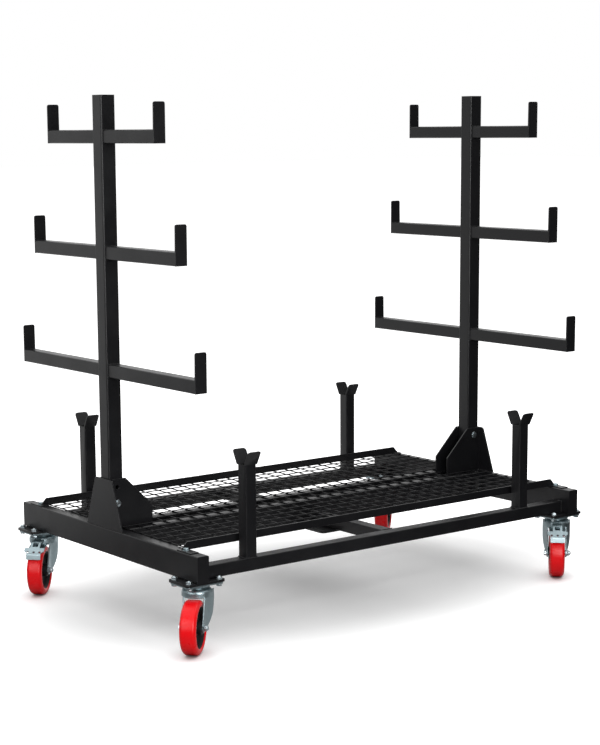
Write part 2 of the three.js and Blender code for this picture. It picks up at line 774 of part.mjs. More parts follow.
// Wheel: the profiles are revolved about the axle, with a flat facet on the floor
function makeWheel(corner, parent) {
  const half = wheelWidth / 2;
  const tyreProfile = [
    [hubRadius, -half + hubRimInset],
    [rollingRadius - sideDrop, -half],
    [rollingRadius, -half * treadShare],
    [rollingRadius, half * treadShare],
    [rollingRadius - sideDrop, half],
    [hubRadius, half - hubRimInset],
    [hubRadius, -half + hubRimInset],
  ];
  const rimInner = hubRadius - hubRimWall;
  const rimHalf = half - hubRimInset;
  const rimOuter = (hubRadius - seatGap) * Math.cos(Math.PI / wheelFacets);
  const bore = (axleRadius + seatGap) / Math.cos(Math.PI / hubFacets);
  const hubProfile = [
    [bore, -hubBossHalf],
    [hubBossRadius, -hubBossHalf],
    [hubBossRadius, -hubWebHalf],
    [rimInner, -hubWebHalf],
    [rimInner, -rimHalf],
    [rimOuter, -rimHalf],
    [rimOuter, rimHalf],
    [rimInner, rimHalf],
    [rimInner, hubWebHalf],
    [hubBossRadius, hubWebHalf],
    [hubBossRadius, hubBossHalf],
    [bore, hubBossHalf],
    [bore, -hubBossHalf],
  ];
  const tyre = addPiece(`${corner}_tyre`, revolve(tyreProfile, wheelFacets), redTyre, parent);
  const hub = addPiece(`${corner}_hub`, revolve(hubProfile, hubFacets), blackPlastic, parent);
  tyre.geometry.rotateZ(Math.PI / wheelFacets);
  [tyre, hub].forEach((piece) => {
    piece.geometry.rotateY(Math.PI / 2);
    piece.position.set(0, -trail, wheelRadius);
  });
}

function makeCastor({ corner, sideX, sideY, axleAngle, braked }) {
  makeCastorPad(corner, sideX, sideY);
  const fixed = new THREE.Group();
  fixed.position.set(sideX * padCentreX, sideY * padCentreY, 0);
  cart.add(fixed);
  makeCastorPlate(corner, fixed);
  const swivel = new THREE.Group();
  swivel.rotation.z = THREE.MathUtils.degToRad(axleAngle);
  fixed.add(swivel);
  makeFork(corner, swivel, braked);
  makeAxle(corner, swivel);
  makeWheel(corner, swivel);
  if (braked) makeBrakePedal(corner, swivel);
}

makeBase();
makeDeckMesh();
makeDeckLip("front_deck_lip", -1);
makeDeckLip("rear_deck_lip", 1);
makeEnd(-1);
makeEnd(1);
[-1, 1].forEach((sideX) => [-1, 1].forEach((sideY) => {
  const name = `${sideY < 0 ? "front" : "rear"}_${sideX < 0 ? "left" : "right"}_v_post`;
  makeVPost(name, sideX, sideY);
}));
castors.forEach(makeCastor);

// The origin moves to the centre of the footprint
const footprint = new THREE.Box3().setFromObject(cart, true);
const centre = footprint.getCenter(new THREE.Vector3());
cart.position.set(-centre.x, -centre.y, 0);

export default cart;
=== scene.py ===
"""Long material cart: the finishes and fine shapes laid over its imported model.

A welded, powder coated frame with a mesh deck, two masts with stepped arms, four V posts and four
zinc plated swivel castors with red polyurethane tyres. Every part of the file is one step in the sidebar.
"""

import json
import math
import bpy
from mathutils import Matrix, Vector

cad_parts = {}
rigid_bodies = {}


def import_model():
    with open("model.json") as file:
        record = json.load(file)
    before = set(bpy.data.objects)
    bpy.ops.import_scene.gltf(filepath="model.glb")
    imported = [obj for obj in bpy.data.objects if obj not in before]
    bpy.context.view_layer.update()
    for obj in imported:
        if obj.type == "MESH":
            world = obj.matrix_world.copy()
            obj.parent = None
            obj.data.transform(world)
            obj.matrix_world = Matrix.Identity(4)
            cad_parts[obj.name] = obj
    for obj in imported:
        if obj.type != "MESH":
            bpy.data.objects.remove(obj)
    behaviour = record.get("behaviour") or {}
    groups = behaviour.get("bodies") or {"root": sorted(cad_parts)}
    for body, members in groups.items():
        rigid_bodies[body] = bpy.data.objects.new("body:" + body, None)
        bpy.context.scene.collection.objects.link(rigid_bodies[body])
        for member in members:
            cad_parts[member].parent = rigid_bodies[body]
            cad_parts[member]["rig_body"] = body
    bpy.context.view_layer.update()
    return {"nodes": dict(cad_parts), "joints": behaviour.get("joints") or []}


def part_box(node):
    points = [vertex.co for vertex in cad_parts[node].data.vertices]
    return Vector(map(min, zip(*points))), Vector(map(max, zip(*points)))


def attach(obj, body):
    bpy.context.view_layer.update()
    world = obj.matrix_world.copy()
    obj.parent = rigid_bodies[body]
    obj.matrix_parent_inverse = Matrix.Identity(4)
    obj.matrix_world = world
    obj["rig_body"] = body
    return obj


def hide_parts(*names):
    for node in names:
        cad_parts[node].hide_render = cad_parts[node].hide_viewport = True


bl_info = {
    "name": "Long Material Cart",
    "version": (1, 0, 0),
    "blender": (4, 5, 0),
    "location": "View3D > Sidebar > Cart",
    "description": "Dresses the packed cart: coated tubes, welds, round wire deck, fasteners and castors",
    "category": "Object",
}

import bmesh
import bpy
from bpy.props import FloatProperty, FloatVectorProperty, IntProperty, PointerProperty
from mathutils import Matrix, Vector

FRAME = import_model()

# Slots of the record
COAT_SLOT = "black_powder_coat"
ZINC_SLOT = "zinc_plate"
TYRE_SLOT = "polyurethane_tyre"
HUB_SLOT = "nylon_hub"

CORNERS = ("front_left", "rear_left", "front_right", "rear_right")
BRAKED = tuple(corner for corner in CORNERS if f"{corner}_brake_pedal" in FRAME["nodes"])
ENDS = ("left", "right")
SIDES = ("front", "rear")
TIERS = ("low", "middle", "top")

# The photograph's frame, and the camera fitted to it, from the cart's own centre on the floor
PHOTO_WIDTH = 600
PHOTO_HEIGHT = 745
FOCAL_PIXELS = 1804.37
CENTRE_PIXEL = (250.0, 426.6)
CAMERA_PLACE = (-3.6226, -4.6170, 1.49235)
CAMERA_YAW = math.radians(36.42)
CAMERA_PITCH = math.radians(9.38)
CAMERA_ROLL = math.radians(-0.56)
SENSOR_WIDTH = 36.0

# The studio: levels are shares of white, and fades on the floor are shares of the cart's footprint
FLOOR_HALF = 60
# Painted shade under the cart: the floor's white glow drops to FLOOR_GLOW_NEAR near the cart and comes back
# over GLOW_FADE
FLOOR_GLOW_NEAR = 0.10
FOOTPRINT_SHARE = (1 / 0.95, 1 / 0.62, 0)
GLOW_FADE = (0.6, 1.6)
BOUNCE_FADE = (1.0, 1.6)
# Painted reflection: glossy rays see the floor's glow only on this side of the cart
BRIGHT_SIDE = (0.1, 0.995, 0.0)
BRIGHT_ARC = (0.35, 0.85)
# Painted shade: bounce light and far reflections see the floor darkened towards this colour
FLOOR_SHADE = "#303030"
BOUNCE_SHARE = 0.3
# Painted contact shadow: the floor's glow dims where something stands closer above it than this
CONTACT_REACH = 0.08
BACKDROP_SIDE = (0.48, 0.87, 0.1)
BACKDROP_ARC = (-0.3, 0.7)
ROOM_LEVEL = 0.08
AMBIENT_SHARE = 0.55

# Gloss of the powder coat on tube and on thin wire, and the span that most of a noise lies in
COAT_GLOSS = 0.34
WIRE_GLOSS = 0.14
NOISE_SPAN = (0.3, 0.7)


def linear(code):
    """An sRGB hex colour as linear red, green and blue."""
    values = [int(code[i:i + 2], 16) / 255 for i in (1, 3, 5)]
    return tuple(v / 12.92 if v <= 0.04045 else ((v + 0.055) / 1.055) ** 2.4 for v in values)


def joint(name):
    """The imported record's joint of that name."""
    return next(j for j in FRAME["joints"] if j["name"] == name)


def box_centre(node):
    """The middle of a CAD node's box."""
    low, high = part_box(node)
    return (low + high) / 2


CART_CENTRE = box_centre("deck_mesh")
BASE_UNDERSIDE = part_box("left_end_beam")[0].z

# Points closer than the first are merged, and a cut runs through a point closer than the second
SAME_POINT = 1e-6
ON_CUT = 1e-7

# Length of a weld ripple along its bead, as a share of its width
RIPPLE_LENGTH = 0.62

# Sockets, tabs and the room that the deck leaves round a socket
SOCKET_PLATE = 0.005
SOCKET_INSET = 0.002
GUSSET_INSET = 0.003
TAB_WIDTH = 0.030
TAB_THICKNESS = 0.003
TAB_BOLT_IN = 0.026
NOTCH_ROOM = 0.009

# Fasteners: a washer is a radius, a thickness and a bore, and a hexagon a radius over its corners and a
# height. Turns set each head apart from the next
HEX_CHAMFER = 0.12
THREAD_PITCH = 0.0015
THREAD_ROOT, THREAD_TIP = 0.86, 0.7
MAST_HEAD = 0.005
MAST_BOLT = 0.006
MAST_WASHER = (0.0112, 0.0016, MAST_BOLT)
MAST_HEX, MAST_TURN = 0.0094, 0.2
TAB_WASHER, TAB_HEX = (0.0102, 0.0014, 0.005), (0.0086, 0.0052)
PAD_WASHER, PAD_NUT = (0.0098, 0.0016, 0.0052), (0.0092, 0.0058)
PAD_BOLT, PAD_TAIL = 0.0048, 0.0016
PLATE_WASHER, PLATE_HEX = (0.0105, 0.0016, 0.0045), (0.0092, 0.0058)
BOLT_SPACING = (0.105, 0.076)
NUT_TURN, HEX_TURN = 90, 70
AXLE_BOLT, AXLE_SEAT = 0.0058, 0.0003
AXLE_WASHER, AXLE_NUT = (0.0115, 0.0016, AXLE_BOLT), (0.0100, 0.0062)
AXLE_HEX, AXLE_TURNS = 0.0096, (0.3, 0.5)
AXLE_HEAD_OUT, AXLE_TAIL_OUT = 0.0032, 0.0062
LOCK_COLLAR, COLLAR_CURL, COLLAR_TOP = (0.0084, 0.0036), 0.0022, 0.006

# Castor plate, upper race, lower race and king pin
PLATE_SIZE = (0.128, 0.094)
PLATE_THICKNESS = 0.005
PLATE_CORNER = 0.008
PLATE_ROUND, PAD_ROUND = 0.0008, 0.0009
RACE_BORE, RACE_RADIUS = 0.0085, 0.0405
RACE_STEP, RACE_ROUND = 0.0012, 0.006
RACE_SEAT = 0.002
RACE_GAP = 0.0035
LOWER_RACE, RACE_EASE = (0.030, 0.0032), (0.001, 0.0008)
KING_PIN, PIN_EASE = (0.008, 0.0142), (0.0015, 0.0012)

# Fork: the crown's shoulder and skirt, each leg's edges from the king pin, and the rolled rim
CROWN_SHOULDER = 0.012
SKIRT_DEPTH = 0.023
SKIRT_ROLL = 0.0006
LEG_HEAD = 0.006
LEG_LEAD = 0.020
LEG_REAR = 0.0325
LEG_STRAIGHT = 0.036
LEG_TUCK, TUCK_STEPS = 0.0025, (0.001, 0.0015)
LEG_CUTS = (-0.044, -0.038, -0.0345, -0.0305, -0.027, -0.021, -0.013, -0.005, 0.003, 0.0085, 0.0125)
FLARE_ROUND = 0.006
AXLE_EYE = 0.015
EYE_ANGLE = -60
RIM_RADIUS = 0.0027
RIM_ANGLES = (0.68, 0.58, 0.45, 0.3, 0.15)
RIM_INSET, RIM_LIFT = 0.002, 0.001
RIM_SHARES = (0.1, 0.4, 0.7, 0.92)
RIM_CORNER = ((0.0004, 0.0008, -0.0012), (0.0016, 0.0006, 0.0006))

# Wheel: the tyre's side wall steps out from its seat and in from its half width, and the hub's rim steps in
# from the seat and down from its edge. A sleeve is a radius, a rise and an ease
TREAD_ROUND = (0.014, 0.0115)
TYRE_SIDE = ((0, 0.003), (0.002, 0.0016), (0.006, 0.0002))
HUB_BORE = 0.0063
HUB_BOSS, BOSS_EASE = 0.0205, 0.0012
BOSS_FOOT, BOSS_FILLET = 0.004, 0.003
HUB_FACE = 0.0270
HUB_WEB = 0.006
HUB_EDGE = 0.0212
HUB_FIT = 0.0004
HUB_RIM = ((0.012, 0.0152), (0.0065, 0.0122), (0.004, 0.0022), (0.0025, 0.0007), (0, 0))
SLEEVE = (0.0092, 0.001, 0.0004)

# Brake: the hinge, and the pedal's neck, plate and lip, as half widths and as lengths from the hinge
HINGE_RADIUS = 0.0045
HINGE_PIN = 0.0025
HINGE_CHAMFER = 0.0004
HINGE_WEB = (0.012, 0.009)
PEDAL_THICKNESS = 0.003
PEDAL_CORNERS = ((0, 0), (-0.032, 0), (-0.079, -0.0295), (-0.082, -0.0485))
PEDAL_BEND = 0.006
NECK_HALF, PLATE_HALF, LIP_HALF = 0.0155, 0.033, 0.0235
PLATE_START, PLATE_END, LIP_LENGTH = 0.0603, 0.0733, 0.0215
NECK_FLARE = ((-0.003, 0), (-0.001, 0.001), (0, 0.003))
PLATE_NOTCH, PLATE_EASE, LIP_EASE = 0.004, (0.002, 0.0012), 0.0015
LUG_HALF, LUG_ROOM = 0.0063, 0.0055
WINDOW_PLACE, WINDOW_SIZE, WINDOW_CORNER = 0.0465, (0.0177, 0.0176), 0.0016
HOLE_PLACE, HOLE_SPACING, HOLE_RADIUS = 0.0796, 0.0195, 0.004
LEAF_GAP, LEAF_THICKNESS, LEAF_HALF, LEAF_ARC = 0.0017, 0.0025, 0.0270, (124, 74)
PRESSING_ROUND = 0.0007


class CartCoatSizes(bpy.types.PropertyGroup):
    """Edges, welds and texture of the powder coated steel"""

    edge_round: FloatProperty(
        name="Edge round", description="Radius the coat leaves on a cut edge",
        default=0.0008, unit="LENGTH")
    bead_width: FloatProperty(
        name="Weld bead", description="Width of a fillet weld over its ripples",
        default=0.005, unit="LENGTH")
    bead_pitch: FloatProperty(
        name="Ripple pitch", description="Distance from one weld ripple to the next",
        default=0.0028, unit="LENGTH")
    texture_grain: FloatProperty(
        name="Orange peel", description="Distance between the bumps of the coat, drawn coarse enough to show",
        default=0.0032, unit="LENGTH")


class CartDeckSizes(bpy.types.PropertyGroup):
    """Welded wire deck"""

    wire_diameter: FloatProperty(
        name="Wire", description="Diameter of the drawn wire", default=0.004, unit="LENGTH")
    wire_sink: FloatProperty(
        name="Weld sink", description="How far crossing wires sink into each other",
        default=0.0005, unit="LENGTH")
    mesh_pitch: FloatProperty(
        name="Mesh pitch", description="Distance between wires", default=0.0508, unit="LENGTH")
    wire_sides: IntProperty(name="Wire sides", description="Facets round a wire", default=12)


class CartCastorSizes(bpy.types.PropertyGroup):
    """Fork, wheel and brake of a castor"""

    leg_inner: FloatProperty(
        name="Leg gap", description="From the wheel's middle to the inside of a leg",
        default=0.0283, unit="LENGTH")
    plate: FloatProperty(
        name="Fork plate", description="Thickness of the pressed fork", default=0.004, unit="LENGTH")
    crown_radius: FloatProperty(
        name="Crown radius", description="Outer radius of the fork's crown", default=0.045, unit="LENGTH")
    flare: FloatProperty(
        name="Leg flare", description="How far a leg's leading part is set out", default=0.014, unit="LENGTH")
    flare_run: FloatProperty(
        name="Flare run", description="Depth over which a leg flares", default=0.0425, unit="LENGTH")
    hub_radius: FloatProperty(
        name="Hub radius", description="Where the tyre meets the hub", default=0.061, unit="LENGTH")
    tyre_width: FloatProperty(
        name="Tyre width", description="Across the tread and both shoulders", default=0.05, unit="LENGTH")


class CartFinishes(bpy.types.PropertyGroup):
    """Colours of the finishes"""

    coat: FloatVectorProperty(
        name="Powder coat", description="Satin black polyester powder coat",
        subtype="COLOR", default=linear("#101012"))
    zinc: FloatVectorProperty(
        name="Zinc plate", description="Bright zinc with a blue passivate",
        subtype="COLOR", default=linear("#98A6AB"))
    fastener: FloatVectorProperty(
        name="Fasteners", description="Bright zinc of bolts, nuts and washers",
        subtype="COLOR", default=linear("#BCC6CA"))
    tyre: FloatVectorProperty(
        name="Tyre", description="Red cast polyurethane", subtype="COLOR", default=linear("#DA060F"))
    hub: FloatVectorProperty(
        name="Hub", description="Black moulded nylon", subtype="COLOR", default=linear("#0E0E10"))
    floor: FloatVectorProperty(
        name="Floor", description="Pale studio floor", subtype="COLOR", default=linear("#F4F4F4"))


# Materials


def add_node(tree, kind, inputs=None, **settings):
    """A node with its settings, values and links. A node given as a value stands for its first output."""
    made = tree.nodes.new(kind)
    for name, value in settings.items():
        setattr(made, name, value)
    for name, value in (inputs or {}).items():
        if isinstance(value, bpy.types.Node):
            value = value.outputs[0]
        if isinstance(value, bpy.types.NodeSocket):
            tree.links.new(value, made.inputs[name])
        else:
            made.inputs[name].default_value = value
    return made


def start_material(name):
    """An empty node material, its tree and its Object coordinates."""
    material = bpy.data.materials.new(name)
    material.use_nodes = True
    material.node_tree.nodes.clear()
    place = add_node(material.node_tree, "ShaderNodeTexCoord")
    return material, material.node_tree, place.outputs["Object"]


def make_finish(name, colour, grain, relief, polish, look, clouds=None, film=None, tint=None):
    """A finish whose grain bumps it, whose clouds vary its polish and whose film lets a second tint through.

    Grain, clouds and film are each a noise: its size in metres, its detail and its roughness. Relief is the
    strength and depth of the bumps, polish the least and greatest roughness, and tint a colour with its least
    and greatest share. Look holds the shader's own values.
    """
    material = bpy.data.materials.get(name)
    if material:
        return material
    material, tree, place = start_material(name)
    clouds = clouds or grain
    film = film or clouds
    noise = {layer: add_node(tree, "ShaderNodeTexNoise", {
        "Vector": place, "Scale": 1 / layer[0], "Detail": layer[1], "Roughness": layer[2]})
        for layer in dict.fromkeys((grain, clouds, film))}
    spans = [(clouds, *polish)] + ([(film, *tint[1:])] if tint else [])
    rough, *share = [add_node(tree, "ShaderNodeMapRange", {
        "Value": noise[layer], "From Min": NOISE_SPAN[0], "From Max": NOISE_SPAN[1], "To Min": low,
        "To Max": high}) for layer, low, high in spans]
    base = (*colour, 1.0)
    if tint:
        base = add_node(tree, "ShaderNodeMix", {
            "Factor": share[0], "A": base, "B": (*linear(tint[0]), 1.0)}, data_type="RGBA").outputs[2]
    bump = add_node(tree, "ShaderNodeBump", {
        "Height": noise[grain], "Strength": relief[0], "Distance": relief[1]})
    shader = add_node(tree, "ShaderNodeBsdfPrincipled", {
        "Base Color": base, "Roughness": rough, "Normal": bump, **look})
    add_node(tree, "ShaderNodeOutputMaterial", {"Surface": shader})
    return material


def powder_coat(name="satin_black_powder_coat", gloss=COAT_GLOSS):
    """Polyester powder coat, satin black: an even skin with a fine orange peel that breaks up its gloss."""
    scene = bpy.context.scene
    return make_finish(
        name, scene.cart_finish.coat, grain=(scene.cart_coat.texture_grain, 3.0, 0.6), relief=(0.35, 0.0006),
        polish=(0.30, 0.40), clouds=(0.09, 2.0, 0.5), look={"IOR": 1.5, "Specular IOR Level": gloss})


def wire_coat():
    """The same coat on the drawn wires of the deck, where it lies thin and dull."""
    return powder_coat("thin_black_powder_coat", WIRE_GLOSS)


def zinc_plate():
    """Electroplated zinc on pressed steel: a bright bluish metal with faint rolling and handling marks."""
    return make_finish(
        "blue_passivated_zinc", bpy.context.scene.cart_finish.zinc, grain=(0.006, 4.0, 0.6),
        relief=(0.12, 0.0004), polish=(0.34, 0.46), film=(0.03, 2.0, 0.5), tint=("#859599", *NOISE_SPAN),
        look={"Metallic": 1.0})


def bright_zinc():
    """Barrel plated zinc on bolts, nuts and washers: brighter and smoother than on the pressings."""
    # The tumbling marks are finer than this: they are drawn 1.5 mm apart so that they show
    return make_finish(
        "bright_barrel_zinc", bpy.context.scene.cart_finish.fastener, grain=(0.0015, 3.0, 0.6),
        relief=(0.15, 0.0002), polish=(0.22, 0.34), look={"Metallic": 1.0})


def polyurethane():
    """Cast polyurethane: smooth, saturated and slightly waxy, with a faint mould grain."""
    return make_finish(
        "cast_red_polyurethane", bpy.context.scene.cart_finish.tyre, grain=(0.0025, 3.0, 0.5),
        relief=(0.08, 0.0004), polish=(0.26, 0.36), clouds=(0.02, 2.0, 0.5), tint=("#C2040F", 0.0, 0.35),
        look={"IOR": 1.5, "Specular IOR Level": 0.3})


def moulded_nylon():
    """Injection moulded nylon: dull black with a fine spark-eroded grain."""
    # Spark marks are near 0.1 mm: they are drawn 1.2 mm apart so that they show
    return make_finish(
        "black_moulded_nylon", bpy.context.scene.cart_finish.hub, grain=(0.0012, 3.0, 0.5),
        relief=(0.2, 0.0003), polish=(0.5, 0.62), look={"IOR": 1.53, "Specular IOR Level": 0.2})


FINISHES = {
    COAT_SLOT: powder_coat,
    ZINC_SLOT: zinc_plate,
    TYRE_SLOT: polyurethane,
    HUB_SLOT: moulded_nylon,
}


# Pieces


def add_piece(name, mesh, body, slot, replaced=(), smooth=40.0, finish=None):
    """Turns a bmesh into a finished piece that rides on a body. Smooth is the sharpest angle shaded round."""
    data = bpy.data.meshes.new(name)
    mesh.to_mesh(data)
    mesh.free()
    piece = bpy.data.objects.new(name, data)
    bpy.context.scene.collection.objects.link(piece)
    data.materials.append((finish or FINISHES[slot])())
    data.shade_smooth()
    data.set_sharp_from_angle(angle=math.radians(smooth))
    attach(piece, body)
    if replaced:
        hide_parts(*replaced)
    return piece


def along(place, direction):
    """A matrix that stands a shape's +Z along a direction at a place."""
    turn = Vector(direction).to_track_quat("Z", "Y").to_matrix().to_4x4()
    return Matrix.Translation(Vector(place)) @ turn


def settle(mesh, shape, frame):
    """Turns a finished shape's faces outwards, moves it to its place and joins it to a piece's mesh."""
    bmesh.ops.recalc_face_normals(shape, faces=shape.faces)
    bmesh.ops.transform(shape, matrix=frame, verts=shape.verts)
    data = bpy.data.meshes.new("shape")
    shape.to_mesh(data)
    shape.free()
    mesh.from_mesh(data)
    bpy.data.meshes.remove(data)


def soften(shape, width, sharpest, segments=2):
    """Rounds the edges of a shape that are sharper than an angle in degrees."""
    edges = [e for e in shape.edges if e.is_manifold and e.calc_face_angle() > math.radians(sharpest)]
    bmesh.ops.bevel(
        shape, geom=edges, offset=width, offset_type="OFFSET", segments=segments, profile=0.5,
        affect="EDGES", clamp_overlap=True, material=-1)


def add_rod(mesh, start, end, radius, sides, chamfer=0.0):
    """A round rod between two points, its ends chamfered where that is given."""
    start, end = Vector(start), Vector(end)
    shape = bmesh.new()
    bmesh.ops.create_cone(
        shape, cap_ends=True, cap_tris=False, segments=sides, radius1=radius, radius2=radius,
        depth=(end - start).length)
    if chamfer:
        soften(shape, chamfer, 60)
    settle(mesh, shape, along((start + end) / 2, end - start))


def add_turned(mesh, profile, segments, frame):
    """A profile of (radius, height) points spun about +Z, then placed by a frame."""
    shape = bmesh.new()
    rim = [shape.verts.new((r, 0, h)) for r, h in profile]
    edges = [shape.edges.new(pair) for pair in zip(rim, rim[1:])]
    bmesh.ops.spin(
        shape, geom=rim + edges, cent=(0, 0, 0), axis=(0, 0, 1), angle=2 * math.pi,
        steps=segments, use_merge=True, use_duplicate=False)
    bmesh.ops.remove_doubles(shape, verts=shape.verts, dist=SAME_POINT)
    settle(mesh, shape, frame)


def add_plate(mesh, outline, thickness, frame, bevel=0.0):
    """A flat outline in X and Y given a thickness along +Z, its edges rounded, placed by a frame."""
    shape = bmesh.new()
    face = shape.faces.new([shape.verts.new((x, y, 0)) for x, y in outline])
    lifted = bmesh.ops.extrude_face_region(shape, geom=[face])
    top = [g for g in lifted["geom"] if isinstance(g, bmesh.types.BMVert)]
    bmesh.ops.translate(shape, verts=top, vec=(0, 0, thickness))
    if bevel:
        soften(shape, bevel, 50)
    settle(mesh, shape, frame)


def rounded_rectangle(length, width, radius, steps=6):
    """Outline of a rectangle with round corners, about its middle."""
    points = []
    for turn, (sx, sy) in enumerate(((1, 1), (-1, 1), (-1, -1), (1, -1))):
        corner = (sx * (length / 2 - radius), sy * (width / 2 - radius))
        points += arc(corner, (radius, radius), turn * 90, turn * 90 + 90, steps)
    return points


def add_hex(mesh, foot, direction, radius, height, turn=0.0):
    """A hexagon head or nut, with the chamfered corners that a turned blank leaves."""
    shape = bmesh.new()
    bmesh.ops.create_cone(
        shape, cap_ends=True, cap_tris=False, segments=6, radius1=radius, radius2=radius, depth=height,
        matrix=Matrix.Translation((0, 0, height / 2)))
    rims = [e for e in shape.edges if abs(e.verts[0].co.z - e.verts[1].co.z) < 1e-7]
    bmesh.ops.bevel(
        shape, geom=rims, offset=height * HEX_CHAMFER, offset_type="OFFSET", segments=2, profile=0.5,
        affect="EDGES", clamp_overlap=True, material=-1)
    settle(mesh, shape, along(foot, direction) @ Matrix.Rotation(turn, 4, "Z"))


def add_washer(mesh, foot, direction, radius, thickness, bore):
    """A flat washer with its edges rolled."""
    lip = thickness * 0.3
    profile = [
        (bore, 0), (radius - lip, 0), (radius, lip), (radius, thickness - lip),
        (radius - lip, thickness), (bore, thickness), (bore, 0)]
    add_turned(mesh, profile, 28, along(foot, direction))


def add_head(mesh, foot, direction, washer, radius, height, turn):
    """A hexagon head or nut on its washer."""
    add_washer(mesh, foot, direction, *washer)
    add_hex(mesh, Vector(foot) + Vector(direction) * washer[1], direction, radius, height, turn)


def add_thread(mesh, foot, direction, radius, length, pitch=THREAD_PITCH):
    """The end of a bolt beyond its nut: a stack of rounded ridges and a chamfered tip."""
    ridges = max(1, int(length / pitch))
    profile = [(0, 0), (radius * THREAD_ROOT, 0)]
    for i in range(ridges):
        profile += [(radius, (i + 0.5) * pitch), (radius * THREAD_ROOT, (i + 1) * pitch)]
    top = (ridges + 0.4) * pitch
    profile += [(radius * THREAD_TIP, top), (0, top)]
    add_turned(mesh, profile, 20, along(foot, direction))


def arc(centre, radii, start, end, steps):
    """Points of an arc or a quarter ellipse, its angles in degrees."""
    points = []
    for step in range(steps + 1):
        angle = math.radians(start + (end - start) * step / steps)
        points.append((centre[0] + radii[0] * math.cos(angle), centre[1] + radii[1] * math.sin(angle)))
    return points


def draw_line(curve, points, closed):
    """A line through points of a curve, straight from each to the next."""
    spline = curve.splines.new("POLY")
    spline.points.add(len(points) - 1)
    for spot, place in zip(spline.points, points):
        spot.co = (*Vector(place).to_3d(), 1)
    spline.use_cyclic_u = closed


def curve_shape(curve):
    """A curve as a bmesh, its doubles merged and the curve thrown away."""
    holder = bpy.data.objects.new("outline", curve)
    shape = bmesh.new()
    shape.from_mesh(holder.to_mesh())
    holder.to_mesh_clear()
    bpy.data.objects.remove(holder)
    bpy.data.curves.remove(curve)
    bmesh.ops.remove_doubles(shape, verts=shape.verts, dist=SAME_POINT)
    return shape


def pierced_shape(outlines, thickness, bevel=0.0005):
    """A flat plate with holes: the first outline is its edge and the others are its holes."""
    curve = bpy.data.curves.new("plate_outline", "CURVE")
    curve.dimensions = "2D"
    curve.fill_mode = "BOTH"
    curve.extrude = thickness / 2 - bevel
    curve.bevel_depth = bevel
    curve.bevel_resolution = 1
    curve.offset = -bevel
    for points in outlines:
        draw_line(curve, points, True)
    shape = curve_shape(curve)
    bmesh.ops.translate(shape, verts=shape.verts, vec=(0, 0, thickness / 2))
    return shape


def add_bar(mesh, points, radius):
    """A round bar bent along a line of points."""
    curve = bpy.data.curves.new("bar_line", "CURVE")
    curve.dimensions = "3D"
    curve.bevel_depth = radius
    curve.bevel_resolution = 3
    curve.use_fill_caps = True
    draw_line(curve, points, False)
    settle(mesh, curve_shape(curve), Matrix())


def swept(start, pull, end, steps):
    """Points of a curve from start to end that leans towards a third point."""
    shares = [step / steps for step in range(steps + 1)]
    return [start * (1 - t) ** 2 + pull * 2 * t * (1 - t) + end * t ** 2 for t in shares]


def slice_across(shape, axis, places):
    """Cuts a shape across its X or Y at each place, so that it can bend there."""
    normal = Vector((1, 0, 0)) if axis == "x" else Vector((0, 1, 0))
    for place in places:
        bmesh.ops.bisect_plane(
            shape, geom=shape.verts[:] + shape.edges[:] + shape.faces[:], plane_co=normal * place,
            plane_no=normal, dist=ON_CUT)


def coated_copy(node):
    """A CAD node's own shape with its loose triangles joined and its flat faces merged."""
    mesh = bmesh.new()
    mesh.from_mesh(FRAME["nodes"][node].data)
    bmesh.ops.remove_doubles(mesh, verts=mesh.verts, dist=SAME_POINT)
    bmesh.ops.dissolve_limit(
        mesh, angle_limit=math.radians(0.5), use_dissolve_boundaries=False, verts=mesh.verts,
        edges=mesh.edges)
    return mesh


def round_edges(piece, width):
    """Rounds the sharp edges of a coated piece and weights its shading by face."""
    bevel = piece.modifiers.new("edge_round", "BEVEL")
    bevel.width = width
    bevel.segments = 2
    bevel.limit_method = "ANGLE"
    bevel.angle_limit = math.radians(50)
    bevel.use_clamp_overlap = True
    even_shading(piece, keep_sharp=False)


def even_shading(piece, keep_sharp=True):
    """Keeps the flat faces of a piece flat up to their rounded edges."""
    shading = piece.modifiers.new("face_weight", "WEIGHTED_NORMAL")
    shading.keep_sharp = keep_sharp
    shading.weight = 80


def coat_node(node):
    """Replaces a CAD node by its coated copy."""
    piece = add_piece(
        f"{node}_coated", coated_copy(node), FRAME["nodes"][node]["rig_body"], COAT_SLOT, [node], smooth=180)
    round_edges(piece, bpy.context.scene.cart_coat.edge_round)
    return piece


def add_bead(mesh, start, end, width, pitch):
    """A fillet weld: overlapping ripples along a line, each a low dome."""
    start, end = Vector(start), Vector(end)
    run = end - start
    count = max(2, int(run.length / pitch))
    for i in range(count):
        share = (i + 0.5) / count
        swell = 1 + 0.08 * math.sin(i * 2.4) + 0.05 * math.sin(i * 5.1)
        frame = along(start + run * share, run) @ Matrix.Diagonal((swell, swell, RIPPLE_LENGTH, 1))
        bmesh.ops.create_icosphere(mesh, subdivisions=1, radius=width / 2, matrix=frame)


# Steps


class CART_OT_frame(bpy.types.Operator):
    """Coats the welded base: beams, rails, spines, crossmembers and the tie plate"""

    bl_idname = "cart.frame"
    bl_label = "Welded base"

    def execute(self, context):
        for node in ("left_end_beam", "right_end_beam", "front_long_rail", "rear_long_rail", "front_spine",
                     "rear_spine", "front_crossmember", "rear_crossmember", "centre_tie_plate"):
            coat_node(node)
        return {"FINISHED"}


class CART_OT_masts(bpy.types.Operator):
    """Coats the masts, sockets, arms and V posts"""

    bl_idname = "cart.masts"
    bl_label = "Masts, arms and posts"

    def execute(self, context):
        for end in ENDS:
            coat_node(f"{end}_mast")
            coat_node(f"{end}_mast_socket")
            for side in SIDES:
                coat_node(f"{side}_{end}_v_post")
                for tier in TIERS:
                    coat_node(f"{end}_{side}_{tier}_arm")
        return {"FINISHED"}


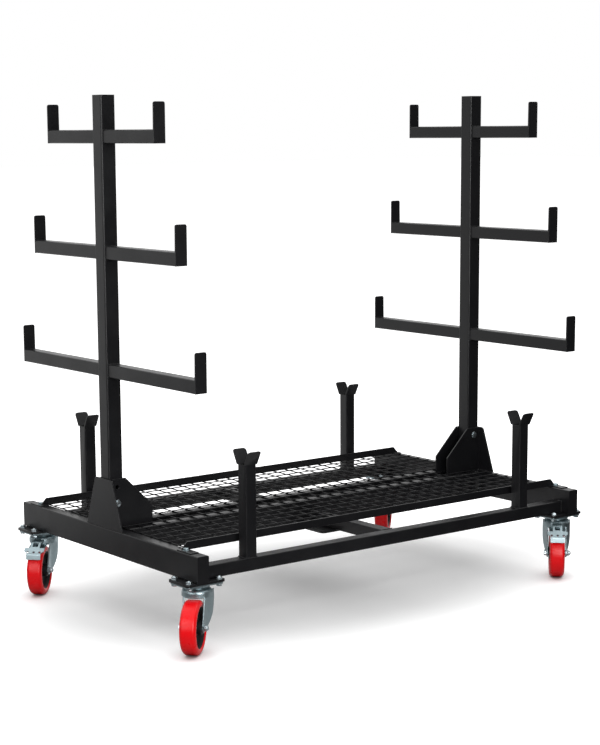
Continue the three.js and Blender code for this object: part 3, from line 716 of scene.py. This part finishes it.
class CART_OT_deck(bpy.types.Operator):
    """Lays the round wires of the deck and coats its two lips"""

    bl_idname = "cart.deck"
    bl_label = "Mesh deck"

    def execute(self, context):
        sizes = context.scene.cart_deck
        low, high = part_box("deck_mesh")
        radius = sizes.wire_diameter / 2
        mesh = bmesh.new()
        notch_x = max(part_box("left_mast_socket")[1].x - CART_CENTRE.x,
                      CART_CENTRE.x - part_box("right_mast_socket")[0].x) * -1
        notch_y = (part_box("front_spine")[1].y - CART_CENTRE.y) * -1 + NOTCH_ROOM
        cross_z = low.z + radius
        long_z = cross_z + sizes.wire_diameter - sizes.wire_sink
        half_x = (high.x - low.x) / 2
        rows = int((half_x - radius) / sizes.mesh_pitch + 0.5)
        for i in range(2 * rows):
            x = (i - rows + 0.5) * sizes.mesh_pitch
            spans = [(low.y, high.y)]
            if abs(x) > notch_x:
                spans = [(low.y, CART_CENTRE.y - notch_y), (CART_CENTRE.y + notch_y, high.y)]
            for y0, y1 in spans:
                add_rod(mesh, (CART_CENTRE.x + x, y0, cross_z), (CART_CENTRE.x + x, y1, cross_z),
                        radius, sizes.wire_sides)
        lines = int((high.y - low.y) / 2 / sizes.mesh_pitch)
        for i in range(-lines, lines + 1):
            y = CART_CENTRE.y + i * sizes.mesh_pitch
            reach = notch_x if i == 0 else half_x
            add_rod(mesh, (CART_CENTRE.x - reach, y, long_z), (CART_CENTRE.x + reach, y, long_z),
                    radius, sizes.wire_sides)
        add_piece("deck_round_wires", mesh, "root", COAT_SLOT, ["deck_mesh"], 60, wire_coat)
        for side in SIDES:
            coat_node(f"{side}_deck_lip")
        return {"FINISHED"}


def foot_section(node):
    """Lowest and highest corner of a CAD node's own foot."""
    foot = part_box(node)[0].z
    points = [v.co for v in FRAME["nodes"][node].data.vertices if abs(v.co.z - foot) < 0.001]
    return [Vector((limit(p.x for p in points), limit(p.y for p in points), foot)) for limit in (min, max)]


def across(low, high, axis, level):
    """The four corners of a box's section across its X, Y or Z at a level."""
    first, second = (i for i in range(3) if i != axis)
    corners = []
    for one, other in ((low, low), (high, low), (high, high), (low, high)):
        corner = Vector((level,) * 3)
        corner[first], corner[second] = one[first], other[second]
        corners.append(corner)
    return corners


def add_weld(mesh, corners, closed=True):
    """A weld bead along a line of corners."""
    sizes = bpy.context.scene.cart_coat
    ends = corners[1:] + corners[:1] if closed else corners[1:]
    for start, end in zip(corners, ends):
        add_bead(mesh, start, end, sizes.bead_width, sizes.bead_pitch)


class CART_OT_welds(bpy.types.Operator):
    """Lays the fillet welds of the base, the arms, the posts and the mast sockets"""

    bl_idname = "cart.welds"
    bl_label = "Welds"

    def execute(self, context):
        mesh = bmesh.new()
        for end in ENDS:
            for side in SIDES:
                for tier in TIERS:
                    low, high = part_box(f"{end}_{side}_{tier}_arm")
                    root = high.y if side == "front" else low.y
                    top = Vector((high.x, high.y, low.z + high.x - low.x))
                    add_weld(mesh, across(low, top, 1, root))
        for axis, members in ((0, "long_rail spine"), (1, "crossmember")):
            for member in members.split():
                for side in SIDES:
                    low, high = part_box(f"{side}_{member}")
                    for level in (low[axis], high[axis]):
                        add_weld(mesh, across(low, high, axis, level))
        for side in SIDES:
            for end in ENDS:
                low, high = foot_section(f"{side}_{end}_v_post")
                add_weld(mesh, across(low, high, 2, low.z))
        for end in ENDS:
            low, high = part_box(f"{end}_mast_socket")
            front, rear = (corner.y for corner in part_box(f"{end}_mast_bolt"))
            for y in (front + MAST_HEAD, rear - MAST_HEAD):
                add_weld(mesh, [(low.x + SOCKET_INSET, y, low.z), (high.x - SOCKET_INSET, y, low.z)], False)
            face = low.x + SOCKET_PLATE if end == "left" else high.x - SOCKET_PLATE
            for y0, y1 in ((low.y, front), (rear, high.y)):
                add_weld(mesh, [(face, y0 + GUSSET_INSET, low.z), (face, y1, low.z)], False)
        add_piece("frame_weld_beads", mesh, "root", COAT_SLOT, smooth=80)
        return {"FINISHED"}


class CART_OT_bolts(bpy.types.Operator):
    """Fits the through bolts of the masts and the bolts at the corners of the deck lips"""

    bl_idname = "cart.bolts"
    bl_label = "Bolts"

    def execute(self, context):
        for end in ENDS:
            low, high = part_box(f"{end}_mast_bolt")
            x, _, z = (low + high) / 2
            front, rear = low.y + MAST_HEAD, high.y - MAST_HEAD
            height = MAST_HEAD - MAST_WASHER[1]
            mesh = bmesh.new()
            add_rod(mesh, (x, front, z), (x, rear, z), MAST_BOLT, 24)
            for y, out in ((front, -1), (rear, 1)):
                add_head(mesh, (x, y, z), (0, out, 0), MAST_WASHER, MAST_HEX, height, MAST_TURN)
            add_piece(f"{end}_mast_through_bolt", mesh, "root", ZINC_SLOT, [f"{end}_mast_bolt"], 35,
                      bright_zinc)
        heads = bmesh.new()
        for side in SIDES:
            low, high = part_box(f"{side}_deck_lip")
            y = high.y - TAB_BOLT_IN if side == "front" else low.y + TAB_BOLT_IN
            for x in (low.x + TAB_WIDTH / 2, high.x - TAB_WIDTH / 2):
                add_head(heads, (x, y, low.z + TAB_THICKNESS), (0, 0, 1), TAB_WASHER, *TAB_HEX, x)
        add_piece("deck_corner_bolts", heads, "root", ZINC_SLOT)
        return {"FINISHED"}


# Castors


class Castor:
    """One castor: its own frame, +X along the axle and the wheel trailing towards -Y, and its levels."""

    def __init__(self, corner):
        swivel, roll = joint(f"{corner}_castor_swivel"), joint(f"{corner}_wheel_roll")
        axle, up = Vector(roll["axis"]).normalized(), Vector((0, 0, 1))
        self.corner = corner
        self.frame = Matrix.Translation((*swivel["pos_m"][:2], 0)) @ Matrix(
            (axle, up.cross(axle), up)).transposed().to_4x4()
        self.wheel_level = roll["pos_m"][2]
        self.trail = math.dist(swivel["pos_m"][:2], roll["pos_m"][:2])
        self.pad_foot, self.pad_head = (corner_point.z for corner_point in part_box(f"{corner}_castor_pad"))
        self.race_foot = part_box(f"{corner}_castor_plate")[0].z
        self.crown_top = self.race_foot - RACE_GAP
        inwards = self.frame.inverted()
        self.axle_half = max((inwards @ vert.co).x for vert in FRAME["nodes"][f"{corner}_axle"].data.vertices)
        if corner in BRAKED:
            self.hinge = inwards @ Vector(joint(f"{corner}_brake_lift")["pos_m"])

    def bolt_places(self):
        """The four bolts through the pad and the castor plate, in the cart's frame."""
        low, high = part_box(f"{self.corner}_castor_pad")
        middle = (low + high) / 2
        return [(middle.x + sx * BOLT_SPACING[0] / 2, middle.y + sy * BOLT_SPACING[1] / 2)
                for sx in (-1, 1) for sy in (-1, 1)]

    def add(self, name, mesh, body, replaced=None, finish=None):
        """A zinc plated piece that was made in the castor's own frame."""
        bmesh.ops.transform(mesh, matrix=self.frame, verts=mesh.verts)
        return add_piece(f"{self.corner}_{name}", mesh, f"{self.corner}_{body}", ZINC_SLOT,
                         [f"{self.corner}_{replaced}"] if replaced else (), 35, finish)


SIDEWAYS = Matrix(((0, 0, 1, 0), (1, 0, 0, 0), (0, 1, 0, 0), (0, 0, 0, 1)))


def castor_pad(castor):
    """The black pad that is welded under a corner, and the nuts and bolt tails on it."""
    low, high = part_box(f"{castor.corner}_castor_pad")
    middle = (low + high) / 2
    mesh = bmesh.new()
    add_plate(mesh, rounded_rectangle(high.x - low.x, high.y - low.y, PLATE_CORNER), BASE_UNDERSIDE - low.z,
              Matrix.Translation((middle.x, middle.y, low.z)), PAD_ROUND)
    add_piece(f"{castor.corner}_pad_plate", mesh, "root", COAT_SLOT, [f"{castor.corner}_castor_pad"], 30)
    nuts = bmesh.new()
    nut_top = BASE_UNDERSIDE + PAD_WASHER[1] + PAD_NUT[1]
    for x, y in castor.bolt_places():
        add_head(nuts, (x, y, BASE_UNDERSIDE), (0, 0, 1), PAD_WASHER, *PAD_NUT, x * NUT_TURN)
        add_thread(nuts, (x, y, nut_top), (0, 0, 1), PAD_BOLT, PAD_TAIL)
    add_piece(f"{castor.corner}_pad_nuts", nuts, "root", ZINC_SLOT, finish=bright_zinc)


def castor_plate(castor):
    """The castor's own plate with its upper race, and the four bolt heads below it."""
    middle = box_centre(f"{castor.corner}_castor_pad")
    foot = castor.pad_foot - PLATE_THICKNESS
    mesh = bmesh.new()
    add_plate(mesh, rounded_rectangle(*PLATE_SIZE, PLATE_CORNER), PLATE_THICKNESS,
              Matrix.Translation((middle.x, middle.y, foot)), PLATE_ROUND)
    top, step = foot + RACE_SEAT, foot - RACE_STEP
    race = [(RACE_BORE, top), (RACE_RADIUS, top), (RACE_RADIUS, step)]
    race += arc((RACE_RADIUS - RACE_ROUND, step), (RACE_ROUND, step - castor.race_foot), 0, -90, 8)[1:]
    race += [(RACE_BORE, castor.race_foot), (RACE_BORE, top)]
    add_turned(mesh, race, 64, Matrix.Translation((middle.x, middle.y, 0)))
    heads = bmesh.new()
    for x, y in castor.bolt_places():
        add_head(heads, (x, y, foot), (0, 0, -1), PLATE_WASHER, *PLATE_HEX, y * HEX_TURN)
    add_piece(f"{castor.corner}_plate_bolt_heads", heads, "root", ZINC_SLOT, finish=bright_zinc)
    even_shading(add_piece(
        f"{castor.corner}_swivel_plate", mesh, "root", ZINC_SLOT, [f"{castor.corner}_castor_plate"], 35))


def leg_edges(castor):
    """Leading and trailing edge of a fork leg, as points in the castor's Y and Z, from the crown down."""
    top = castor.crown_top - LEG_HEAD
    axle = Vector((-castor.trail, castor.wheel_level))
    eye = arc(axle, (AXLE_EYE, AXLE_EYE), EYE_ANGLE, -180, 14)
    start = Vector((LEG_LEAD, castor.crown_top - LEG_STRAIGHT))
    pull = Vector((LEG_LEAD - AXLE_EYE, castor.wheel_level))
    leading = [(LEG_LEAD, top), *map(tuple, swept(start, pull, Vector(eye[0]), 16)), *eye[1:]]
    skirt, tuck = castor.crown_top - SKIRT_DEPTH, LEG_TUCK - LEG_REAR
    return leading, [(-LEG_REAR, skirt - TUCK_STEPS[0]), (tuck, skirt + TUCK_STEPS[1]), (tuck, top)]


def flared(y):
    """How far a leg stands out from its flat part at a depth, with both bends rounded."""
    sizes = bpy.context.scene.cart_castor
    ramps = [(u + math.hypot(u, FLARE_ROUND)) / 2 for u in (y + LEG_REAR, y + LEG_REAR - sizes.flare_run)]
    return (ramps[0] - ramps[1]) * sizes.flare / sizes.flare_run


def castor_fork(castor):
    """The pressed fork: a domed crown with the lower race and king pin, two flared legs and a rolled rim."""
    sizes = bpy.context.scene.cart_castor
    inner, plate, crown = sizes.leg_inner, sizes.plate, sizes.crown_radius
    top, foot = castor.crown_top, castor.crown_top - SKIRT_DEPTH
    bend = (crown - CROWN_SHOULDER, top - CROWN_SHOULDER)
    (race, race_rise), (pin, pin_rise) = LOWER_RACE, KING_PIN
    mesh = bmesh.new()
    profile = [(0, top - plate), (bend[0], top - plate)]
    profile += arc(bend, (CROWN_SHOULDER - plate,) * 2, 90, 0, 6)[1:]
    profile += [(crown - plate, foot), (crown - plate * 0.5, foot - SKIRT_ROLL), (crown, foot)]
    profile += arc(bend, (CROWN_SHOULDER,) * 2, 0, 90, 9)
    profile += [(race, top), (race, top + race_rise - RACE_EASE[1]), (race - RACE_EASE[0], top + race_rise),
                (pin, top + race_rise), (pin, top + pin_rise - PIN_EASE[1]),
                (pin - PIN_EASE[0], top + pin_rise), (0, top + pin_rise)]
    add_turned(mesh, profile, 72, Matrix())
    leading, trailing = leg_edges(castor)
    for side in (-1, 1):
        leg = bmesh.new()
        shift = Matrix.Translation((inner if side > 0 else -inner - plate, 0, 0))
        add_plate(leg, leading + trailing, plate, shift @ SIDEWAYS)
        slice_across(leg, "y", LEG_CUTS)
        for vert in leg.verts:
            vert.co.x += side * flared(vert.co.y)
        soften(leg, PLATE_ROUND, 50)
        settle(mesh, leg, Matrix())
    add_bar(mesh, rim_line(leading[-1], inner + plate / 2, crown - RIM_INSET, foot), RIM_RADIUS)
    if castor.corner in BRAKED:
        y, z = castor.hinge.y, castor.hinge.z
        width, height = HINGE_WEB
        web = bmesh.new()
        bmesh.ops.create_cube(web, size=1, matrix=Matrix.Translation(
            (0, (y - crown) / 2, z)) @ Matrix.Diagonal((width, y + crown, height, 1)))
        bmesh.ops.recalc_face_normals(web, faces=web.faces)
        soften(web, PRESSING_ROUND, 50)
        settle(mesh, web, Matrix())
        add_rod(mesh, (-width / 2, y, z), (width / 2, y, z), HINGE_RADIUS, 28, HINGE_CHAMFER)
    even_shading(castor.add("pressed_fork", mesh, "swivel", "fork"))


def rim_line(eye, middle, reach, level):
    """The line of a fork's rolled rim: up one leg's trailing edge, over the tyre and down the other."""
    drop = [(middle, eye[0] - (LEG_REAR + eye[0]) * t, eye[1] + (level - eye[1]) * t)
            for t in RIM_SHARES]
    drop += [(middle - aside, -LEG_REAR - out, level + up) for aside, out, up in RIM_CORNER]
    arch = [(reach * math.sin(a), -reach * math.cos(a), level + RIM_LIFT)
            for a in (*RIM_ANGLES, 0, *(-a for a in reversed(RIM_ANGLES)))]
    return drop + arch + [(-x, y, z) for x, y, z in reversed(drop)]


def castor_axle(castor):
    """The axle bolt: a head on a washer at one end, and a washer, a lock nut and the tail at the other."""
    sizes = bpy.context.scene.cart_castor
    middle = Vector((0, -castor.trail, castor.wheel_level))
    out = Vector((1, 0, 0))
    foot = sizes.leg_inner + sizes.plate + AXLE_SEAT
    head, tail = castor.axle_half + AXLE_HEAD_OUT, castor.axle_half + AXLE_TAIL_OUT
    nut = foot + AXLE_WASHER[1]
    (crown, collar), curl = LOCK_COLLAR, COLLAR_CURL
    tip = nut + AXLE_NUT[1] + collar
    mesh = bmesh.new()
    add_rod(mesh, middle - out * head * 0.9, middle + out * tail * 0.9, AXLE_BOLT, 28)
    add_head(mesh, middle - out * foot, -out, AXLE_WASHER, AXLE_HEX, head - nut, AXLE_TURNS[0])
    add_head(mesh, middle + out * foot, out, AXLE_WASHER, *AXLE_NUT, AXLE_TURNS[1])
    dome = [(0, 0), (crown, 0), *arc((crown - curl, collar - curl), (curl, curl), 0, 90, 5),
            (COLLAR_TOP, collar), (0, collar)]
    add_turned(mesh, dome, 28, along(middle + out * (nut + AXLE_NUT[1]), out))
    add_thread(mesh, middle + out * tip, out, AXLE_BOLT, tail - tip)
    castor.add("axle_bolt", mesh, "swivel", "axle", bright_zinc)


def castor_wheel(castor):
    """The cast tyre on its moulded hub, with a zinc sleeve at each end of the bore."""
    sizes = bpy.context.scene.cart_castor
    radius, half, seat = castor.wheel_level, sizes.tyre_width / 2, sizes.hub_radius
    frame = castor.frame @ along((0, -castor.trail, castor.wheel_level), (1, 0, 0))
    deep, wide = TREAD_ROUND
    side = [(seat + out, half - inset) for out, inset in TYRE_SIDE]
    side += arc((radius - deep, half - wide), (deep, wide), 90, 0, 11)
    hub = [(HUB_BORE, HUB_FACE), (HUB_BOSS - BOSS_EASE, HUB_FACE), (HUB_BOSS, HUB_FACE - BOSS_EASE),
           (HUB_BOSS + BOSS_EASE, HUB_WEB + BOSS_FILLET), (HUB_BOSS + BOSS_FOOT, HUB_WEB)]
    hub += [(seat - HUB_FIT - inset, HUB_EDGE - down) for inset, down in HUB_RIM]
    hub.reverse()
    for name, slot, half_profile, middle, replaced, smooth in (
            ("cast_tyre", TYRE_SLOT, side, [(radius, 0.0)], "tyre", 40),
            ("moulded_hub", HUB_SLOT, hub, [], "hub", 35)):
        profile = [(r, -h) for r, h in half_profile] + middle + half_profile[::-1]
        mesh = bmesh.new()
        add_turned(mesh, profile + profile[:1], 96, frame)
        add_piece(f"{castor.corner}_{name}", mesh, f"{castor.corner}_wheel", slot,
                  [f"{castor.corner}_{replaced}"], smooth)
    sleeves = bmesh.new()
    outer, rise, ease = SLEEVE
    ring = [(HUB_BORE, 0), (outer, 0), (outer, rise - ease), (outer - ease, rise), (HUB_BORE, rise),
            (HUB_BORE, 0)]
    for end in (-1, 1):
        add_turned(sleeves, ring, 32, frame @ along((0, 0, end * HUB_FACE), (0, 0, end)))
    add_piece(f"{castor.corner}_axle_sleeves", sleeves, f"{castor.corner}_wheel", ZINC_SLOT)


def castor_brake(castor):
    """The pressed pedal: hinge barrels and pin, a neck with a window, a plate with three holes and a lip."""
    hinge = castor.hinge
    path = pedal_path(hinge)
    reach = path[-1][0]
    lip_start = reach - LIP_LENGTH
    edge = [(HINGE_RADIUS, NECK_HALF)]
    edge += [(PLATE_START + step, NECK_HALF + out) for step, out in NECK_FLARE]
    edge += arc((PLATE_START + PLATE_NOTCH, PLATE_HALF - PLATE_NOTCH), (PLATE_NOTCH,) * 2, 180, 90, 5)
    run, fall = PLATE_EASE
    edge += [(PLATE_END, PLATE_HALF), (PLATE_END + run, PLATE_HALF - fall), (lip_start - run, LIP_HALF + fall),
             (lip_start, LIP_HALF), (reach - LIP_EASE, LIP_HALF), (reach, LIP_HALF - LIP_EASE)]
    outline = [(0.0, LUG_HALF), (0.0, NECK_HALF)] + edge + [(s, -x) for s, x in reversed(edge)]
    outline += [(0.0, -NECK_HALF), (0.0, -LUG_HALF), (LUG_ROOM, -LUG_HALF), (LUG_ROOM, LUG_HALF)]
    window = [(s + WINDOW_PLACE, x) for s, x in rounded_rectangle(*WINDOW_SIZE, WINDOW_CORNER, 4)]
    holes = [arc((HOLE_PLACE, place * HOLE_SPACING), (HOLE_RADIUS,) * 2, 0, 345, 23) for place in (-1, 0, 1)]
    pedal = bmesh.new()
    settle(pedal, pierced_shape([outline, window, *holes], PEDAL_THICKNESS), Matrix())
    slice_across(pedal, "x", [row[0] for row in path[1:-1]])
    for vert in pedal.verts:
        vert.co = on_path(path, vert.co)
    y, z = hinge.y, hinge.z
    for side in (-1, 1):
        add_rod(pedal, (side * LUG_HALF, y, z), (side * NECK_HALF, y, z), HINGE_RADIUS, 28, HINGE_CHAMFER)
    add_rod(pedal, (-NECK_HALF, y, z), (NECK_HALF, y, z), HINGE_PIN, 20)
    even_shading(castor.add("pressed_pedal", pedal, "brake", "brake_pedal"))


def brake_leaf(castor):
    """The pressed leaf that the pedal bears on: it follows the tyre at a small running gap."""
    inner = castor.wheel_level + LEAF_GAP
    centre = (-castor.trail, castor.wheel_level)
    outline = arc(centre, (inner, inner), *LEAF_ARC, 18)
    outline += arc(centre, (inner + LEAF_THICKNESS,) * 2, *reversed(LEAF_ARC), 18)
    leaf = bmesh.new()
    shift = Matrix.Translation((-LEAF_HALF, 0, 0))
    add_plate(leaf, outline, 2 * LEAF_HALF, shift @ SIDEWAYS, PRESSING_ROUND)
    even_shading(castor.add("brake_leaf", leaf, "swivel"))


def pedal_path(hinge):
    """Length, Y, Z and slope along the pedal's top face, with its two bends drawn as arcs."""
    corners = [Vector((hinge.y, hinge.z + HINGE_RADIUS)) + Vector(step) for step in PEDAL_CORNERS]
    points = [corners[0]]
    for before, bend, after in zip(corners, corners[1:], corners[2:]):
        start, end = (bend + (far - bend).normalized() * PEDAL_BEND for far in (before, after))
        points += swept(start, bend, end, 8)
    points.append(corners[-1])
    rows, length = [], 0.0
    for i, point in enumerate(points):
        if i:
            length += (point - points[i - 1]).length
        ahead = points[min(i + 1, len(points) - 1)] - points[max(i - 1, 0)]
        rows.append((length, point.x, point.y, math.atan2(ahead.y, ahead.x)))
    return rows


def on_path(path, co):
    """A flat plate's point (length, side, height) taken onto a bent path."""
    s = min(max(co.x, 0.0), path[-1][0])
    for (s0, y0, z0, a0), (s1, y1, z1, a1) in zip(path, path[1:]):
        if s <= s1:
            t = (s - s0) / (s1 - s0)
            y, z, slope = y0 + (y1 - y0) * t, z0 + (z1 - z0) * t, a0 + (a1 - a0) * t
            break
    depth = PEDAL_THICKNESS - co.z
    return Vector((co.y, y - math.sin(slope) * depth, z + math.cos(slope) * depth))


class CART_OT_castors(bpy.types.Operator):
    """Builds the four castors: pads, swivel plates, forks, wheels and brakes"""

    bl_idname = "cart.castors"
    bl_label = "Castors"

    def execute(self, context):
        for corner in CORNERS:
            castor = Castor(corner)
            castor_pad(castor)
            castor_plate(castor)
            castor_fork(castor)
            castor_axle(castor)
            castor_wheel(castor)
            if corner in BRAKED:
                castor_brake(castor)
                brake_leaf(castor)
        return {"FINISHED"}


class CART_OT_stage(bpy.types.Operator):
    """Sets up the pale floor, the lights and the camera"""

    bl_idname = "cart.stage"
    bl_label = "Studio"

    def execute(self, context):
        floor = make_floor()
        make_world()
        make_lights(floor)
        make_camera()
        context.scene.view_settings.view_transform = "Standard"
        return {"FINISHED"}


def make_floor():
    """A wide pale floor that keeps the cart's shadow and fades to white further out.
    Near the cart and under anything close above it, its glow is held back: painted shade. Gloss sees its
    glow only on its bright side: a painted reflection.
    """
    mesh = bmesh.new()
    bmesh.ops.create_grid(mesh, x_segments=1, y_segments=1, size=FLOOR_HALF)
    data = bpy.data.meshes.new("studio_floor")
    mesh.to_mesh(data)
    mesh.free()
    floor = bpy.data.objects.new("studio_floor", data)
    bpy.context.scene.collection.objects.link(floor)
    material, tree, place = start_material("studio_floor")
    rays = add_node(tree, "ShaderNodeLightPath").outputs
    spread = add_node(tree, "ShaderNodeVectorMath", {0: place, 1: FOOTPRINT_SHARE}, operation="MULTIPLY")
    away = add_node(tree, "ShaderNodeVectorMath", {0: spread}, operation="LENGTH").outputs["Value"]
    towards = add_node(tree, "ShaderNodeVectorMath", {0: place}, operation="NORMALIZE")
    side = add_node(tree, "ShaderNodeVectorMath", {0: towards, 1: BRIGHT_SIDE}, operation="DOT_PRODUCT")
    # Painted shade: the glow's share by distance from the cart darkens the floor under the footprint
    painted_shade_glow_share, lit, close = [add_node(tree, "ShaderNodeMapRange", {
        "Value": value, "From Min": start, "From Max": end, "To Min": low, "To Max": high},
        interpolation_type="SMOOTHSTEP") for value, (start, end), low, high in (
            (away, GLOW_FADE, FLOOR_GLOW_NEAR, 1.0),
            (side.outputs["Value"], BRIGHT_ARC, 0.0, 1.0),
            (away, BOUNCE_FADE, 1.0, 0.0))]
    # Painted reflection: the glow shows to glossy rays only on the floor's bright side
    painted_reflection_glow = add_node(tree, "ShaderNodeMath", {0: rays["Is Glossy Ray"], 1: lit}, operation="MULTIPLY")
    seen = add_node(tree, "ShaderNodeMath", {0: rays["Is Camera Ray"], 1: painted_reflection_glow}, operation="MAXIMUM")
    # Painted contact shadow: ambient occlusion dims the glow under the wheels and anything close above the
    # floor
    painted_contact_shade = add_node(tree, "ShaderNodeAmbientOcclusion", {"Distance": CONTACT_REACH}, samples=8)
    glow_past_painted_shade = add_node(tree, "ShaderNodeMath", {0: painted_shade_glow_share, 1: painted_contact_shade.outputs["AO"]}, operation="MULTIPLY")
    strength = add_node(tree, "ShaderNodeMath", {0: glow_past_painted_shade, 1: seen}, operation="MULTIPLY")
    # Painted shade: the floor is pale to the camera, and darkened towards FLOOR_SHADE for bounce light and far
    # reflections
    level = rays["Is Camera Ray"]
    for ray, share in (("Is Glossy Ray", close), ("Is Diffuse Ray", BOUNCE_SHARE)):
        part = add_node(tree, "ShaderNodeMath", {0: rays[ray], 1: share}, operation="MULTIPLY")
        level = add_node(tree, "ShaderNodeMath", {0: level, 1: part}, operation="MAXIMUM")
    colour = add_node(tree, "ShaderNodeMix", {
        "Factor": level, "A": (*linear(FLOOR_SHADE), 1.0),
        "B": (*bpy.context.scene.cart_finish.floor, 1.0)}, data_type="RGBA")
    paper = add_node(tree, "ShaderNodeBsdfDiffuse", {"Color": colour.outputs[2]})
    glow = add_node(tree, "ShaderNodeEmission", {"Color": (1, 1, 1, 1), "Strength": strength})
    both = add_node(tree, "ShaderNodeAddShader", {0: paper, 1: glow})
    add_node(tree, "ShaderNodeOutputMaterial", {"Surface": both})
    floor.data.materials.append(material)
    return floor


def make_world():
    """A white backdrop beyond the cart and a dimmer room in front of it. The camera always sees white."""
    world = bpy.data.worlds.new("studio")
    bpy.context.scene.world = world
    world.use_nodes = True
    tree = world.node_tree
    tree.nodes.clear()
    rays = add_node(tree, "ShaderNodeLightPath").outputs
    place = add_node(tree, "ShaderNodeTexCoord").outputs["Generated"]
    facing = add_node(tree, "ShaderNodeVectorMath", {0: place, 1: BACKDROP_SIDE}, operation="DOT_PRODUCT")
    room = add_node(tree, "ShaderNodeMapRange", {
        "Value": facing.outputs["Value"], "From Min": BACKDROP_ARC[0], "From Max": BACKDROP_ARC[1],
        "To Min": ROOM_LEVEL, "To Max": 1.0}, interpolation_type="SMOOTHSTEP")
    seen = add_node(tree, "ShaderNodeMath", {
        0: rays["Is Camera Ray"], 1: rays["Is Transmission Ray"]}, operation="MAXIMUM")
    share = add_node(tree, "ShaderNodeMapRange", {
        "Value": rays["Is Diffuse Ray"], "To Min": 1.0, "To Max": AMBIENT_SHARE})
    dimmed = add_node(tree, "ShaderNodeMath", {0: room, 1: share}, operation="MULTIPLY")
    level = add_node(tree, "ShaderNodeMath", {0: dimmed, 1: seen}, operation="MAXIMUM")
    back = add_node(tree, "ShaderNodeBackground", {"Color": (1, 1, 1, 1), "Strength": level})
    add_node(tree, "ShaderNodeOutputWorld", {"Surface": back})


def add_light(name, place, target, size, power, spared=None):
    """A soft square lamp aimed at a point. It throws no light on a spared object."""
    lamp = bpy.data.lights.new(name, "AREA")
    lamp.shape = "SQUARE"
    lamp.size = size
    lamp.energy = power
    holder = bpy.data.objects.new(name, lamp)
    bpy.context.scene.collection.objects.link(holder)
    holder.location = place
    aim = Vector(target) - Vector(place)
    holder.rotation_mode = "QUATERNION"
    holder.rotation_quaternion = aim.to_track_quat("-Z", "Y")
    if spared:
        left_out = bpy.data.collections.new(f"{name}_spares")
        left_out.objects.link(spared)
        left_out.collection_objects[0].light_linking.link_state = "EXCLUDE"
        holder.light_linking.receiver_collection = left_out


def make_lights(floor):
    """A key close to the left end and a low fill in front, for the cart alone, and a large lamp overhead."""
    add_light("key_left", (-3.5, -1.1, 1.5), (0, 0, 0.7), 2.2, 50, floor)
    add_light("front_fill", (-1.3, -3.9, 1.3), (0.1, 0, 0.1), 2.2, 120, floor)
    add_light("overhead", (0.4, 0.2, 4.6), (0.4, 0.2, 0), 9.0, 300)


def make_camera():
    """The camera fitted to the photograph."""
    forward = Vector((
        math.sin(CAMERA_YAW) * math.cos(CAMERA_PITCH),
        math.cos(CAMERA_YAW) * math.cos(CAMERA_PITCH),
        -math.sin(CAMERA_PITCH)))
    right = Vector((math.cos(CAMERA_YAW), -math.sin(CAMERA_YAW), 0))
    up = right.cross(forward)
    tilted_right = right * math.cos(CAMERA_ROLL) + up * math.sin(CAMERA_ROLL)
    tilted_up = up * math.cos(CAMERA_ROLL) - right * math.sin(CAMERA_ROLL)
    data = bpy.data.cameras.new("photo_camera")
    data.sensor_width = SENSOR_WIDTH
    data.lens = FOCAL_PIXELS * SENSOR_WIDTH / PHOTO_HEIGHT
    data.shift_x = (PHOTO_WIDTH / 2 - CENTRE_PIXEL[0]) / PHOTO_HEIGHT
    data.shift_y = (CENTRE_PIXEL[1] - PHOTO_HEIGHT / 2) / PHOTO_HEIGHT
    camera = bpy.data.objects.new("photo_camera", data)
    bpy.context.scene.collection.objects.link(camera)
    turn = Matrix((tilted_right, tilted_up, -forward)).transposed().to_4x4()
    place = Vector((CART_CENTRE.x, CART_CENTRE.y, 0)) + Vector(CAMERA_PLACE)
    camera.matrix_world = Matrix.Translation(place) @ turn
    bpy.context.scene.camera = camera


class CART_PT_panel(bpy.types.Panel):
    """Lists the steps that dress the cart"""

    bl_label = "Long Material Cart"
    bl_idname = "CART_PT_panel"
    bl_space_type = "VIEW_3D"
    bl_region_type = "UI"
    bl_category = "Cart"

    def draw(self, context):
        for step in STEPS:
            self.layout.operator(step.bl_idname)
        for group in (context.scene.cart_coat, context.scene.cart_deck,
                      context.scene.cart_castor, context.scene.cart_finish):
            box = self.layout.box()
            for name in group.__annotations__:
                box.prop(group, name)


STEPS = (CART_OT_frame, CART_OT_masts, CART_OT_deck, CART_OT_welds, CART_OT_bolts, CART_OT_castors,
         CART_OT_stage)
GROUPS = {
    "cart_coat": CartCoatSizes,
    "cart_deck": CartDeckSizes,
    "cart_castor": CartCastorSizes,
    "cart_finish": CartFinishes,
}


def register():
    """Registers the settings, the steps and the panel."""
    for name, group in GROUPS.items():
        bpy.utils.register_class(group)
        setattr(bpy.types.Scene, name, PointerProperty(type=group))
    for step in (*STEPS, CART_PT_panel):
        bpy.utils.register_class(step)


def unregister():
    """Takes them away again."""
    for step in (CART_PT_panel, *reversed(STEPS)):
        bpy.utils.unregister_class(step)
    for name, group in GROUPS.items():
        delattr(bpy.types.Scene, name)
        bpy.utils.unregister_class(group)


def main():
    """Runs every step in order."""
    register()
    for step in STEPS:
        module, name = step.bl_idname.split(".")
        getattr(getattr(bpy.ops, module), name)()


if __name__ == "__main__":
    main()
